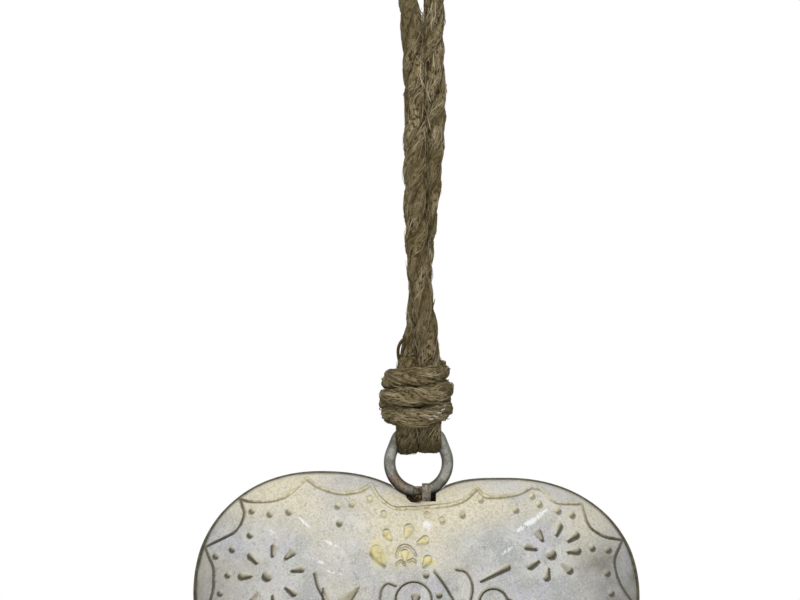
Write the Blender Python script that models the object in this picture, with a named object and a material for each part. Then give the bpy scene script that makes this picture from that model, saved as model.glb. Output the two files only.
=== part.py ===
"""Hollow iron heart, embossed and hung from a jute rope, built at its real size in metres.

The origin is where a hook bears, the underside of the top of the rope loop. +Z is up and
the front of the heart faces -Y. Heights in the rope's route are measured from the hook.
"""

import math

import bmesh
import bpy
from mathutils import Matrix, Vector
from mathutils.geometry import interpolate_bezier

# Clearance between pieces that bear on, or are brazed to, each other
SEAT_GAP = 0.0003

# Rope legs and the loop above them
ROPE_DIAMETER = 0.0058
LOOP_BEND = 0.012
LOOP_STEPS = 9
ROPE_STEP = 0.0070
# Height, middle of the pair, half the pair's spacing, turn of the pair in degrees
LEG_ROUTE = (
    (-0.0200, 0.0000, 0.0108, 0),
    (-0.0330, 0.0002, 0.0079, 0),
    (-0.0480, 0.0005, 0.0045, 0),
    (-0.0620, 0.0009, 0.0032, 0),
    (-0.0740, 0.0013, 0.0031, 0),
    (-0.0880, 0.0019, 0.0031, 8),
    (-0.1020, 0.0015, 0.0031, 28),
    (-0.1160, 0.0008, 0.0031, 50),
    (-0.1300, 0.0003, 0.0031, 74),
    (-0.1406, 0.0004, 0.0031, 94),
    (-0.1480, 0.0007, 0.0031, 108),
    (-0.1535, 0.0008, 0.0031, 124),
    (-0.1570, 0.0005, 0.0031, 138),
    (-0.1594, 0.0002, 0.0031, 148),
)

# Knot: the strands over the ring, and the tail wound round them
KNOT_TOP = -0.1600
STRAND_DIAMETER = 0.0042
STRAND_OFFSET = 0.0023
WRAP_DIAMETER = 0.0047
WRAP_PITCH = 0.0053
WRAP_TURNS = 2.75
WRAP_START = -160
WRAP_STEPS = 24
WRAP_FLARE = 1.55
STRANDS_MEET = 0.0060
STRAND_LEAN = 0.6
BIGHT_STEPS = 8
BACK_STRAND_LENGTH = 0.0120

# Ring, one bent wire
RING_WIRE = 0.0033
RING_DROP = 0.0163
RING_RADIUS = 0.0081
RING_TOP_HALF = 0.0063
RING_CORNER = 0.0026
RING_GAP = 0.0020
RING_GAP_AT = -0.0003
RING_STEPS = 12
CORNER_STEPS = 5

# Hanger strap
STRAP_WIDTH = 0.0023
STRAP_THICKNESS = 0.00045
STRAP_AT = 0.0022
STRAP_PLAY = 0.00010
STRAP_NECK = 0.0045
FOOT_START = 0.0105
FOOT_LENGTH = 0.0050
FOOT_GAP = 0.0006
STRAP_STEPS = 12
SLOPE_STEP = 0.0002
MITRE_LIMIT = 0.5

# Heart, a left and a right half that were bent by hand and aren't alike
CLEFT_BELOW_WIRE = 0.0026
HEART_HEIGHT = 0.1041
LEFT_HALF = {"reach": 0.0629, "widest": 0.0264, "lobe": 0.0275, "rise": 0.0083}
RIGHT_HALF = {"reach": 0.0617, "widest": 0.0274, "lobe": 0.0250, "rise": 0.0064}
CLEFT_HANDLE = (0.0093, 0.0066)
LOBE_HANDLES = (0.0105, 0.0215)
SIDE_HANDLES = (0.0205, 0.0240)
TIP_HANDLE = (0.0200, 0.0200)
OUTLINE_STEPS = 12
CROWN_BELOW_CLEFT = 0.0310

# Shells and the seam between them
SHELL_DEPTH = 0.0185
RIM_LIP = 0.0008
SHELL_WALL = 0.0008
SHELL_CROWN = 2.2
SHELL_RINGS = 9
SEAM_THICKNESS = 0.0007
SEAM_PROUD = 0.0004
SEAM_WIDTH = 0.0013
RING_CLEARANCE = 0.0004
STRAP_SLOT_WIDTH = 0.0087
STRAP_SLOT_LEFT_OF_STRAP = 0.0017
SLOT_BELOW_SEAM = 0.0004

# Heights and places that follow from the sizes above
STRAND_RADIUS = STRAND_DIAMETER / 2
WRAP_HEIGHT = WRAP_TURNS * WRAP_PITCH + WRAP_DIAMETER
WRAP_RADIUS = math.hypot(STRAND_OFFSET, STRAND_OFFSET) + STRAND_RADIUS + SEAT_GAP + WRAP_DIAMETER / 2
KNOT_FOOT = KNOT_TOP - WRAP_HEIGHT
BAR_HEIGHT = KNOT_FOOT - SEAT_GAP - RING_WIRE / 2
BIGHT_RADIUS = RING_WIRE / 2 + SEAT_GAP + STRAND_RADIUS
RING_CENTRE = BAR_HEIGHT - RING_DROP + RING_RADIUS


def wire_height(x):
    """Height of the middle of the ring's lower wire at x."""
    return RING_CENTRE - math.sqrt(RING_RADIUS**2 - x**2)


TILT_HEIGHT = wire_height(STRAP_AT)
STRAP_EDGE = STRAP_AT + STRAP_WIDTH / 2
STRAP_RISE = wire_height(STRAP_EDGE) - TILT_HEIGHT
STRAP_BORE = RING_WIRE / 2 / math.cos(math.asin(STRAP_EDGE / RING_RADIUS)) + STRAP_RISE + STRAP_PLAY
CLEFT_HEIGHT = TILT_HEIGHT - CLEFT_BELOW_WIRE
CROWN = Vector((0, 0, CLEFT_HEIGHT - CROWN_BELOW_CLEFT))
RIM_Y = SEAM_THICKNESS / 2 + SEAT_GAP

JUTE = ((0.19, 0.13, 0.06), 0.95, 0.0)
GALVANISED = ((0.42, 0.41, 0.38), 0.45, 0.9)
DARK_BRAZE = ((0.10, 0.085, 0.05), 0.6, 0.7)
WHITEWASH = ((0.56, 0.54, 0.50), 0.7, 0.2)
BARE_IRON = ((0.30, 0.28, 0.24), 0.5, 0.8)


def material(name, look):
    """A plain material from a colour, a roughness and a metallic value."""
    colour, roughness, metallic = look
    made = bpy.data.materials.new(name)
    made.use_nodes = True
    shader = made.node_tree.nodes["Principled BSDF"]
    shader.inputs["Base Color"].default_value = (*colour, 1)
    shader.inputs["Roughness"].default_value = roughness
    shader.inputs["Metallic"].default_value = metallic
    return made


def add_object(name, data, look, parent=None):
    """Put data in the scene under its node's name, where it was made, and hang it on parent."""
    made = bpy.data.objects.new(name, data)
    bpy.context.scene.collection.objects.link(made)
    if look:
        data.materials.append(material(name, look))
    if parent:
        made.parent = parent
        made.location = -parent.matrix_world.translation
    return made


def add_pivot(name, height, parent=None):
    """An empty on a joint's axis."""
    pivot = bpy.data.objects.new(name, None)
    pivot.empty_display_size = 0.01
    bpy.context.scene.collection.objects.link(pivot)
    pivot.location = (0, 0, height)
    if parent:
        pivot.parent = parent
        pivot.location = (0, 0, height - parent.matrix_world.translation.z)
    bpy.context.view_layer.update()
    return pivot


def smooth_route(points, step):
    """Points about a step apart on a smooth curve through the given points."""
    ends = [2 * points[0] - points[1], *points, 2 * points[-1] - points[-2]]
    route = []
    for before, start, end, after in zip(ends, ends[1:], ends[2:], ends[3:]):
        count = max(1, round((end - start).length / step))
        for i in range(count):
            t = i / count
            route.append(
                0.5
                * (
                    2 * start
                    + (end - before) * t
                    + (2 * before - 5 * start + 4 * end - after) * t**2
                    + (3 * start - before - 3 * end + after) * t**3
                )
            )
    route.append(points[-1])
    return route


def tube(name, points, diameter, sides_level):
    """A round tube with closed ends along the points. sides_level r gives 2 (r + 2) sides."""
    curve = bpy.data.curves.new(name, "CURVE")
    curve.dimensions = "3D"
    curve.bevel_depth = diameter / 2
    curve.bevel_resolution = sides_level
    curve.use_fill_caps = True
    spline = curve.splines.new("POLY")
    spline.points.add(len(points) - 1)
    for place, point in zip(spline.points, points):
        place.co = (*point, 1)
        place.radius = 1
    spline.use_smooth = True
    return curve


def arc(centre, radius, start, end, steps):
    """Points in the XZ plane on an arc from start to end, in degrees from +X towards +Z."""
    points = []
    for i in range(steps + 1):
        angle = math.radians(start + (end - start) * i / steps)
        points.append(centre + radius * Vector((math.cos(angle), 0, math.sin(angle))))
    return points


def leg(side):
    """Points down one leg of the rope. Side is -1 for the leg that starts on the left."""
    points = []
    for height, middle, half, turn in LEG_ROUTE:
        angle = math.radians(turn)
        points.append(Vector((middle + side * half * math.cos(angle), side * half * math.sin(angle), height)))
    return points


def rope_route():
    """The free rope, from the knot up the left leg, over the loop and down the right leg."""
    top = arc(Vector((0, 0, ROPE_DIAMETER / 2 - LOOP_BEND)), LOOP_BEND, 180, 0, LOOP_STEPS)
    return smooth_route([*reversed(leg(-1)), *top, *leg(1)], ROPE_STEP)


def strand_depth(height):
    """How far a strand lies in front of the middle: they part towards the bar of the ring."""
    meet = KNOT_TOP - STRANDS_MEET
    share = (meet - height) / (meet - BAR_HEIGHT)
    return STRAND_OFFSET + (BIGHT_RADIUS - STRAND_OFFSET) * min(1, max(0, share))


def hitch_route(side):
    """One strand, from the knot's top down the front, under the ring's bar and up the back."""
    x = side * STRAND_OFFSET
    meet = KNOT_TOP - STRANDS_MEET
    points = [
        Vector((x, 0, KNOT_TOP - SEAT_GAP)),
        Vector((x, 0, KNOT_TOP - SEAT_GAP - STRAND_RADIUS / 2)),
        Vector((x, -STRAND_LEAN * STRAND_OFFSET, (KNOT_TOP + meet) / 2)),
    ]
    for i in range(3):
        height = meet + (BAR_HEIGHT - meet) * i / 3
        points.append(Vector((x, -strand_depth(height), height)))
    for i in range(BIGHT_STEPS + 1):
        angle = math.pi * i / BIGHT_STEPS
        height = BAR_HEIGHT - BIGHT_RADIUS * math.sin(angle)
        points.append(Vector((x, -BIGHT_RADIUS * math.cos(angle), height)))
    for i in range(1, 3):
        height = BAR_HEIGHT + BACK_STRAND_LENGTH * i / 2
        points.append(Vector((x, strand_depth(height), height)))
    return smooth_route(points, STRAND_RADIUS)


def wrap_route():
    """The winding, one helix upwards. Each end runs straight for one diameter."""
    start = KNOT_FOOT + WRAP_DIAMETER / 2
    count = round(WRAP_TURNS * WRAP_STEPS)
    points = []
    for i in range(count + 1):
        turn = WRAP_TURNS * i / count
        angle = math.radians(WRAP_START) + 2 * math.pi * turn
        height = start + WRAP_PITCH * turn
        depth = WRAP_RADIUS + WRAP_FLARE * (strand_depth(height - WRAP_DIAMETER / 2) - STRAND_OFFSET)
        points.append(Vector((WRAP_RADIUS * math.cos(angle), depth * math.sin(angle), height)))
    first = points[0] + (points[0] - points[1]).normalized() * WRAP_DIAMETER
    last = points[-1] + (points[-1] - points[-2]).normalized() * WRAP_DIAMETER
    return [first, *points, last]


def least_gap(points, diameter, steps_apart):
    """The least space between turns of a tube, measured between points at least steps_apart."""
    least = math.inf
    for i, point in enumerate(points):
        for other in points[i + steps_apart :]:
            least = min(least, (point - other).length - diameter)
    return least


def ring_route():
    """The ring's middle line, anticlockwise from one side of its gap to the other."""
    low = Vector((0, 0, RING_CENTRE))
    corner = Vector((RING_TOP_HALF - RING_CORNER, 0, BAR_HEIGHT - RING_CORNER))
    apart = corner - low
    lean = math.degrees(math.atan2(apart.z, apart.x) - math.acos((RING_RADIUS - RING_CORNER) / apart.length))
    other_corner = Vector((-corner.x, 0, corner.z))
    gap_start = math.degrees(math.asin((RING_GAP_AT - RING_GAP / 2) / RING_RADIUS))
    gap_end = math.degrees(math.asin((RING_GAP_AT + RING_GAP / 2) / RING_RADIUS))
    return [
        *arc(low, RING_RADIUS, -90 + gap_end, lean, RING_STEPS),
        *arc(corner, RING_CORNER, lean, 90, CORNER_STEPS),
        *arc(other_corner, RING_CORNER, 90, 180 - lean, CORNER_STEPS),
        *arc(low, RING_RADIUS, 180 - lean, 270 + gap_start, RING_STEPS),
    ]


def half_outline(half, side):
    """The edge of one half of the heart, from the cleft to the tip."""
    cleft = Vector((0, 0, CLEFT_HEIGHT))
    lobe = cleft + Vector((side * half["lobe"], 0, half["rise"]))
    widest = cleft + Vector((side * half["reach"], 0, -half["widest"]))
    tip = cleft - Vector((0, 0, HEART_HEIGHT))
    inner = cleft + Vector((side * CLEFT_HANDLE[0], 0, CLEFT_HANDLE[1]))
    before_lobe = lobe - Vector((side * LOBE_HANDLES[0], 0, 0))
    after_lobe = lobe + Vector((side * LOBE_HANDLES[1], 0, 0))
    above_widest = widest + Vector((0, 0, SIDE_HANDLES[0]))
    below_widest = widest - Vector((0, 0, SIDE_HANDLES[1]))
    before_tip = tip + Vector((side * TIP_HANDLE[0], 0, TIP_HANDLE[1]))
    spans = (
        (cleft, inner, before_lobe, lobe),
        (lobe, after_lobe, above_widest, widest),
        (widest, below_widest, before_tip, tip),
    )
    points = []
    for knot_a, handle_a, handle_b, knot_b in spans:
        points += interpolate_bezier(knot_a, handle_a, handle_b, knot_b, OUTLINE_STEPS)[:-1]
    return [*points, tip]


def heart_outline():
    """The heart's edge, clockwise seen from the front, from the cleft round to before the cleft."""
    right = half_outline(RIGHT_HALF, 1)
    left = half_outline(LEFT_HALF, -1)
    return [*right, *reversed(left[1:-1])]


def shell_height(share):
    """How far a shell stands out of its rim, at a share of the way from its crown to its edge."""
    return RIM_LIP + (SHELL_DEPTH - RIM_LIP) * math.sqrt(1 - share**SHELL_CROWN)


def share_of_way(x, z):
    """The share of the way from the crown to the rim at a place in the XZ plane."""
    outline = heart_outline()
    ray = Vector((x, 0, z)) - CROWN
    for start, end in zip(outline, [*outline[1:], outline[0]]):
        edge = end - start
        turn = ray.x * edge.z - ray.z * edge.x
        if abs(turn) < 1e-12:
            continue
        to_start = start - CROWN
        reach = (to_start.x * edge.z - to_start.z * edge.x) / turn
        along = (to_start.x * ray.z - to_start.z * ray.x) / turn
        if reach > 0 and -1e-9 <= along <= 1 + 1e-9:
            return 1 / reach
    return 1.0


def shell_mesh(name, side):
    """The outer face of a shell, open at the rim. Side is -1 at the front."""
    outline = heart_outline()
    count = len(outline)
    mesh = bmesh.new()
    rim = Vector((0, side * RIM_Y, 0))
    rings = [[mesh.verts.new(point + rim) for point in outline]]
    for k in range(SHELL_RINGS):
        share = math.sin(math.pi / 2 * (1 - k / SHELL_RINGS))
        y = side * (RIM_Y + shell_height(share))
        middle = CROWN + Vector((0, y, 0))
        rings.append([mesh.verts.new(middle + share * (point - CROWN)) for point in outline])
    top = mesh.verts.new(CROWN + Vector((0, side * (RIM_Y + SHELL_DEPTH), 0)))
    for outer, inner in zip(rings, rings[1:]):
        for i in range(count):
            j = (i + 1) % count
            mesh.faces.new((outer[i], outer[j], inner[j], inner[i]))
    for i in range(count):
        mesh.faces.new((rings[-1][i], rings[-1][(i + 1) % count], top))
    if side < 0:
        bmesh.ops.reverse_faces(mesh, faces=mesh.faces)
    data = bpy.data.meshes.new(name)
    mesh.to_mesh(data)
    mesh.free()
    data.shade_smooth()
    return data


def closed_strip(name, sections):
    """A closed solid from equal rings of points, joined in a loop."""
    mesh = bmesh.new()
    rings = [[mesh.verts.new(point) for point in section] for section in sections]
    count = len(rings[0])
    for ring, following in zip(rings, [*rings[1:], rings[0]]):
        for i in range(count):
            j = (i + 1) % count
            mesh.faces.new((ring[i], ring[j], following[j], following[i]))
    bmesh.ops.recalc_face_normals(mesh, faces=mesh.faces)
    data = bpy.data.meshes.new(name)
    mesh.to_mesh(data)
    mesh.free()
    return data


def seam_mesh():
    """A flat band that follows the heart's edge between the two rims."""
    outline = heart_outline()
    count = len(outline)
    sections = []
    for i, point in enumerate(outline):
        along = (outline[(i + 1) % count] - outline[i - 1]).normalized()
        outward = Vector((-along.z, 0, along.x))
        outer = point + outward * SEAM_PROUD
        inner = point + outward * (SEAM_PROUD - SEAM_WIDTH)
        half = Vector((0, SEAM_THICKNESS / 2, 0))
        sections.append((outer - half, outer + half, inner + half, inner - half))
    return closed_strip("rim_seam", sections)


def strap_profile():
    """The strap's middle line from one foot over the ring's wire to the other foot."""
    radius = STRAP_BORE + STRAP_THICKNESS / 2
    over = []
    for i in range(STRAP_STEPS + 1):
        angle = math.pi * i / STRAP_STEPS
        over.append(Vector((0, -radius * math.cos(angle), TILT_HEIGHT + radius * math.sin(angle))))
    foot = []
    for drop in (FOOT_START, FOOT_START + FOOT_LENGTH):
        z = TILT_HEIGHT - drop
        height = shell_height(share_of_way(STRAP_AT, z))
        slope = (shell_height(share_of_way(STRAP_AT, z - SLOPE_STEP)) - height) / SLOPE_STEP
        outward = Vector((0, -1, slope)).normalized()
        wall = Vector((0, -(RIM_Y + height), z))
        foot.append(wall - outward * (SHELL_WALL + FOOT_GAP + STRAP_THICKNESS / 2))
    neck = Vector((0, -radius, TILT_HEIGHT - STRAP_NECK))
    front = [neck, *foot]
    back = [Vector((0, -point.y, point.z)) for point in front]
    return [*reversed(front), *over, *back]


def strap_mesh():
    """The strap: its profile thickened, and as wide as the strap."""
    profile = strap_profile()
    half = STRAP_THICKNESS / 2
    outer = []
    inner = []
    for i, point in enumerate(profile):
        before = profile[max(i - 1, 0)]
        after = profile[min(i + 1, len(profile) - 1)]
        to_point = (point - before).normalized() if i else (after - point).normalized()
        from_point = (after - point).normalized() if i < len(profile) - 1 else to_point
        along = (to_point + from_point).normalized()
        normal = Vector((0, -along.z, along.y))
        mitre = half / max(MITRE_LIMIT, along.dot(from_point))
        outer.append(point + normal * mitre)
        inner.append(point - normal * mitre)
    mesh = bmesh.new()
    rows = []
    for offset in (-STRAP_WIDTH / 2, STRAP_WIDTH / 2):
        shift = Vector((STRAP_AT + offset, 0, 0))
        rows.append([mesh.verts.new(point + shift) for point in outer])
        rows.append([mesh.verts.new(point + shift) for point in inner])
    left_out, left_in, right_out, right_in = rows
    for i in range(len(profile) - 1):
        mesh.faces.new((left_out[i], left_out[i + 1], left_in[i + 1], left_in[i]))
        mesh.faces.new((right_out[i], right_in[i], right_in[i + 1], right_out[i + 1]))
        mesh.faces.new((left_out[i], right_out[i], right_out[i + 1], left_out[i + 1]))
        mesh.faces.new((left_in[i], left_in[i + 1], right_in[i + 1], right_in[i]))
    for i in (0, -1):
        mesh.faces.new((left_out[i], left_in[i], right_in[i], right_out[i]))
    bmesh.ops.recalc_face_normals(mesh, faces=mesh.faces)
    data = bpy.data.meshes.new("hanger_strap")
    mesh.to_mesh(data)
    mesh.free()
    return data


def add_notch_cutters(parent):
    """Guides for the notch at the cleft: round for the ring's wire, square for the strap."""
    depth = 3 * SHELL_DEPTH
    round_radius = RING_RADIUS + RING_WIRE / 2 + RING_CLEARANCE
    mesh = bmesh.new()
    bmesh.ops.create_cone(
        mesh, cap_ends=True, segments=48, radius1=round_radius, radius2=round_radius, depth=depth
    )
    bmesh.ops.rotate(mesh, verts=mesh.verts, cent=(0, 0, 0), matrix=Matrix.Rotation(math.pi / 2, 3, "X"))
    bmesh.ops.translate(mesh, verts=mesh.verts, vec=(0, 0, RING_CENTRE))
    round_data = bpy.data.meshes.new("ring_cutter")
    mesh.to_mesh(round_data)
    mesh.free()
    floor = CLEFT_HEIGHT - (SEAM_WIDTH - SEAM_PROUD) - SLOT_BELOW_SEAM
    roof = RING_CENTRE
    mesh = bmesh.new()
    bmesh.ops.create_cube(mesh, size=1)
    bmesh.ops.scale(mesh, verts=mesh.verts, vec=(STRAP_SLOT_WIDTH, depth, roof - floor))
    middle = (STRAP_AT - STRAP_SLOT_LEFT_OF_STRAP, 0, (roof + floor) / 2)
    bmesh.ops.translate(mesh, verts=mesh.verts, vec=middle)
    slot_data = bpy.data.meshes.new("strap_cutter")
    mesh.to_mesh(slot_data)
    mesh.free()
    cutters = [
        add_object("ring_cutter", round_data, None, parent),
        add_object("strap_cutter", slot_data, None, parent),
    ]
    for cutter in cutters:
        cutter.hide_render = True
        cutter.display_type = "WIRE"
    return cutters


def cut_notch(target, cutters):
    """Cut the notch for the ring and the strap out of a piece at the heart's rim."""
    for cutter in cutters:
        cut = target.modifiers.new(cutter.name, "BOOLEAN")
        cut.operation = "DIFFERENCE"
        cut.solver = "EXACT"
        cut.object = cutter


def add_shell(name, side, look, parent, cutters):
    """One dished shell with its wall and the notch at the cleft."""
    shell = add_object(name, shell_mesh(name, side), look, parent)
    wall = shell.modifiers.new("wall", "SOLIDIFY")
    wall.thickness = SHELL_WALL
    wall.offset = -1
    wall.use_even_offset = True
    cut_notch(shell, cutters)
    return shell


def build():
    """Make every piece, the rope first and the heart last."""
    for leftover in list(bpy.data.objects):
        bpy.data.objects.remove(leftover)

    hook = add_pivot("hook_point", 0)
    add_object("rope_loop", tube("rope_loop", rope_route(), ROPE_DIAMETER, 2), JUTE, hook)

    twist = add_pivot("rope_twist_axis", KNOT_TOP, hook)
    for name, side in (("hitch_left", -1), ("hitch_right", 1)):
        add_object(name, tube(name, hitch_route(side), STRAND_DIAMETER, 2), JUTE, twist)
    winding = wrap_route()
    add_object("rope_wrap", tube("rope_wrap", winding, WRAP_DIAMETER, 1), JUTE, twist)
    print(f"winding: least gap to itself {least_gap(winding, WRAP_DIAMETER, WRAP_STEPS // 2) * 1000:.2f} mm")

    swing = add_pivot("ring_swing_axis", BAR_HEIGHT, twist)
    add_object("ring", tube("ring", ring_route(), RING_WIRE, 3), GALVANISED, swing)

    tilt = add_pivot("heart_tilt_axis", TILT_HEIGHT, swing)
    cutters = add_notch_cutters(tilt)
    add_object("hanger_strap", strap_mesh(), BARE_IRON, tilt)
    add_shell("front_shell", -1, WHITEWASH, tilt, cutters)
    add_shell("back_shell", 1, WHITEWASH, tilt, cutters)
    seam = add_object("rim_seam", seam_mesh(), DARK_BRAZE, tilt)
    cut_notch(seam, cutters)


build()
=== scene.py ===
"""Embossed iron heart on a jute rope: its surfaces, light and camera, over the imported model.

Sizes are in metres. The embossed pattern is written in millimetres from the heart's cleft, x to
the right and z up, in the plane of the heart's edge, as it is seen from the camera.
"""

import math

import bmesh
import bpy
import numpy as np
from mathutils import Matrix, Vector
from mathutils.geometry import interpolate_bezier


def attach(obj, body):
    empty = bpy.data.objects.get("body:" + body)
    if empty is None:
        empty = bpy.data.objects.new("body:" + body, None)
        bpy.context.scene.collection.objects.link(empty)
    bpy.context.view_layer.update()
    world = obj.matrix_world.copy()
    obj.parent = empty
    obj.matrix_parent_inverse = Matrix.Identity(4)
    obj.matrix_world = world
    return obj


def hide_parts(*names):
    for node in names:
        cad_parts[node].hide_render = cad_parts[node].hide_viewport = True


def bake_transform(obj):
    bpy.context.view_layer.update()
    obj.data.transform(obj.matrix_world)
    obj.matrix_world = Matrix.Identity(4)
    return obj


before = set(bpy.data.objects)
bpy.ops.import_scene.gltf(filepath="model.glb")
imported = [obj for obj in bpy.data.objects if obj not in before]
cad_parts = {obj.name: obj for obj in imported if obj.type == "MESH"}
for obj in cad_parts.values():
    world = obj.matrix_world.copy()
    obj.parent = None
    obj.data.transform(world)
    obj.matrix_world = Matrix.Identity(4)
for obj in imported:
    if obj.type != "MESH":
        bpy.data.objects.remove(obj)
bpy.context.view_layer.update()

MM = 0.001
TURN = 2 * math.pi

# Places that the visual model shares with the solids
BAR_HEIGHT = -0.181225
TILT_HEIGHT = -0.197220
CLEFT_HEIGHT = -0.199820
RIM_Y = 0.00065
RIM_IN_SEAM = 0.0003


def link(thing):
    """Put an object into the scene."""
    bpy.context.scene.collection.objects.link(thing)
    return thing


class Nodes:
    """Short calls for the nodes of one tree."""

    def __init__(self, tree):
        self.tree = tree

    def node(self, kind, **settings):
        """A new node with its settings."""
        made = self.tree.nodes.new(kind)
        for key, value in settings.items():
            setattr(made, key, value)
        return made

    def feed(self, socket, value):
        """Link another node's socket to this one, or give it a value."""
        if isinstance(value, bpy.types.NodeSocket):
            self.tree.links.new(value, socket)
        elif socket.type == "RGBA":
            socket.default_value = (*value, 1)
        else:
            socket.default_value = value

    def calculate(self, how, *values):
        """The result of one step of arithmetic."""
        made = self.node("ShaderNodeMath", operation=how)
        for socket, value in zip(made.inputs, values):
            self.feed(socket, value)
        return made.outputs[0]


# Camera and light

CAMERA_DISTANCE = 1.2
PHOTO_WIDTH = 0.224
PHOTO_MIDDLE = (-0.0052, -0.1439)
SENSOR = 36.0
FILL = 0.25
FILL_FRONT = 0.75
FILL_BACK = 0.50
FILL_TOP = 0.50
FILL_COLOUR = (0.95, 0.97, 1.0)
# Name, place, target, size, watts and colour
LIGHTS = (
    ("key", (-0.12, -0.60, 0.58), (0, 0, -0.20), (0.40, 0.30), 3.05, (1, 1, 1)),
    ("front", (0.30, -0.90, 0.10), (0, 0, -0.20), (0.50, 0.50), 0.50, (1.0, 0.98, 0.95)),
)


def place_camera():
    """Level camera in front of the heart, framed as the photograph is."""
    data = bpy.data.cameras.new("camera")
    data.sensor_width = SENSOR
    data.lens = SENSOR * CAMERA_DISTANCE / PHOTO_WIDTH
    camera = link(bpy.data.objects.new("camera", data))
    camera.location = (PHOTO_MIDDLE[0], -CAMERA_DISTANCE, PHOTO_MIDDLE[1])
    camera.rotation_euler = (math.pi / 2, 0, 0)
    bpy.context.scene.camera = camera


def add_area_light(name, place, target, size, watts, colour):
    """A soft rectangular light at place that shines on target."""
    data = bpy.data.lights.new(name, "AREA")
    data.shape = "RECTANGLE"
    data.size, data.size_y = size
    data.energy = watts
    data.color = colour
    light = link(bpy.data.objects.new(name, data))
    light.location = place
    light.rotation_euler = (Vector(target) - Vector(place)).to_track_quat("-Z", "Y").to_euler()


def add_world():
    """White to the camera and in reflections. Its fill is strongest in front and above."""
    world = bpy.data.worlds.new("world")
    bpy.context.scene.world = world
    world.use_nodes = True
    nodes = Nodes(world.node_tree)
    split = nodes.node("ShaderNodeSeparateXYZ")
    nodes.feed(split.inputs[0], nodes.node("ShaderNodeTexCoord").outputs["Generated"])
    strength = FILL
    for axis, sign, share in ((1, -1, FILL_FRONT), (1, 1, FILL_BACK), (2, 1, FILL_TOP)):
        toward = nodes.calculate("MAXIMUM", nodes.calculate("MULTIPLY", split.outputs[axis], sign), 0)
        square = nodes.calculate("MULTIPLY", toward, toward)
        strength = nodes.calculate("MULTIPLY_ADD", square, share, strength)
    fill = nodes.tree.nodes["Background"]
    nodes.feed(fill.inputs["Color"], FILL_COLOUR)
    nodes.feed(fill.inputs["Strength"], strength)
    white = nodes.node("ShaderNodeBackground")
    nodes.feed(white.inputs["Color"], (1, 1, 1))
    path = nodes.node("ShaderNodeLightPath")
    seen = nodes.calculate("MAXIMUM", path.outputs["Is Camera Ray"], path.outputs["Is Glossy Ray"])
    seen = nodes.calculate("MAXIMUM", seen, path.outputs["Is Transmission Ray"])
    choose = nodes.node("ShaderNodeMixShader")
    for socket, value in zip(choose.inputs, (seen, fill.outputs[0], white.outputs[0])):
        nodes.feed(socket, value)
    nodes.feed(nodes.tree.nodes["World Output"].inputs["Surface"], choose.outputs[0])


place_camera()
add_world()
for light in LIGHTS:
    add_area_light(*light)
bpy.context.scene.view_settings.view_transform = "Standard"


# Materials


class Look(Nodes):
    """A node material with short calls for the nodes used here."""

    def __init__(self, name):
        self.made = bpy.data.materials.new(name)
        self.made.use_nodes = True
        super().__init__(self.made.node_tree)
        self.shader = self.tree.nodes["Principled BSDF"]
        self.places = self.node("ShaderNodeTexCoord").outputs["Object"]

    def attribute(self, name):
        """A number that the mesh holds at each of its points."""
        return self.node("ShaderNodeAttribute", attribute_name=name).outputs["Fac"]

    def noise(self, size, detail=4.0, rough=0.55, places=None, stretch=None):
        """Noise with features about size metres across, from 0 to 1."""
        made = self.node("ShaderNodeTexNoise")
        vector = places or self.places
        if stretch:
            scaled = self.node("ShaderNodeMapping")
            self.feed(scaled.inputs["Vector"], vector)
            self.feed(scaled.inputs["Scale"], stretch)
            vector = scaled.outputs[0]
        settings = {"Vector": vector, "Scale": 1 / size, "Detail": detail, "Roughness": rough}
        for key, value in settings.items():
            self.feed(made.inputs[key], value)
        return made.outputs["Fac"]

    def span(self, value, low, high, to_low=0.0, to_high=1.0):
        """Value from low to high, taken smoothly to the range to_low to to_high."""
        made = self.node("ShaderNodeMapRange", interpolation_type="SMOOTHSTEP")
        for socket, number in zip(made.inputs, (value, low, high, to_low, to_high)):
            self.feed(socket, number)
        return made.outputs[0]

    def times(self, first, second):
        return self.calculate("MULTIPLY", first, second)

    def plus(self, first, second):
        return self.calculate("ADD", first, second)

    def mix(self, share, first, second):
        """The first colour where the share is 0, and the second where it is 1."""
        made = self.node("ShaderNodeMix", data_type="RGBA")
        for place, value in ((0, share), (6, first), (7, second)):
            self.feed(made.inputs[place], value)
        return made.outputs[2]

    def patches(self, value, low, high, first, second):
        """The first colour where a value is low, and the second where it is high."""
        return self.mix(self.span(value, low, high), first, second)

    def specks(self, under, colour, value, low, high, most):
        """A colour laid over another where a value is high, by a share of most."""
        return self.mix(self.span(value, low, high, 0.0, most), under, colour)

    def bump(self, height, depth):
        """Small relief, depth metres for a height of 1."""
        made = self.node("ShaderNodeBump")
        for key, value in {"Strength": 1.0, "Distance": depth, "Height": height}.items():
            self.feed(made.inputs[key], value)
        return made.outputs[0]

    def finish(self, colour, roughness, metallic=0.0, normal=None, specular=0.5):
        """Feed the shader and return the material."""
        settings = {
            "Base Color": colour,
            "Roughness": roughness,
            "Metallic": metallic,
            "Specular IOR Level": specular,
        }
        if normal:
            settings["Normal"] = normal
        for key, value in settings.items():
            self.feed(self.shader.inputs[key], value)
        return self.made


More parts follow.
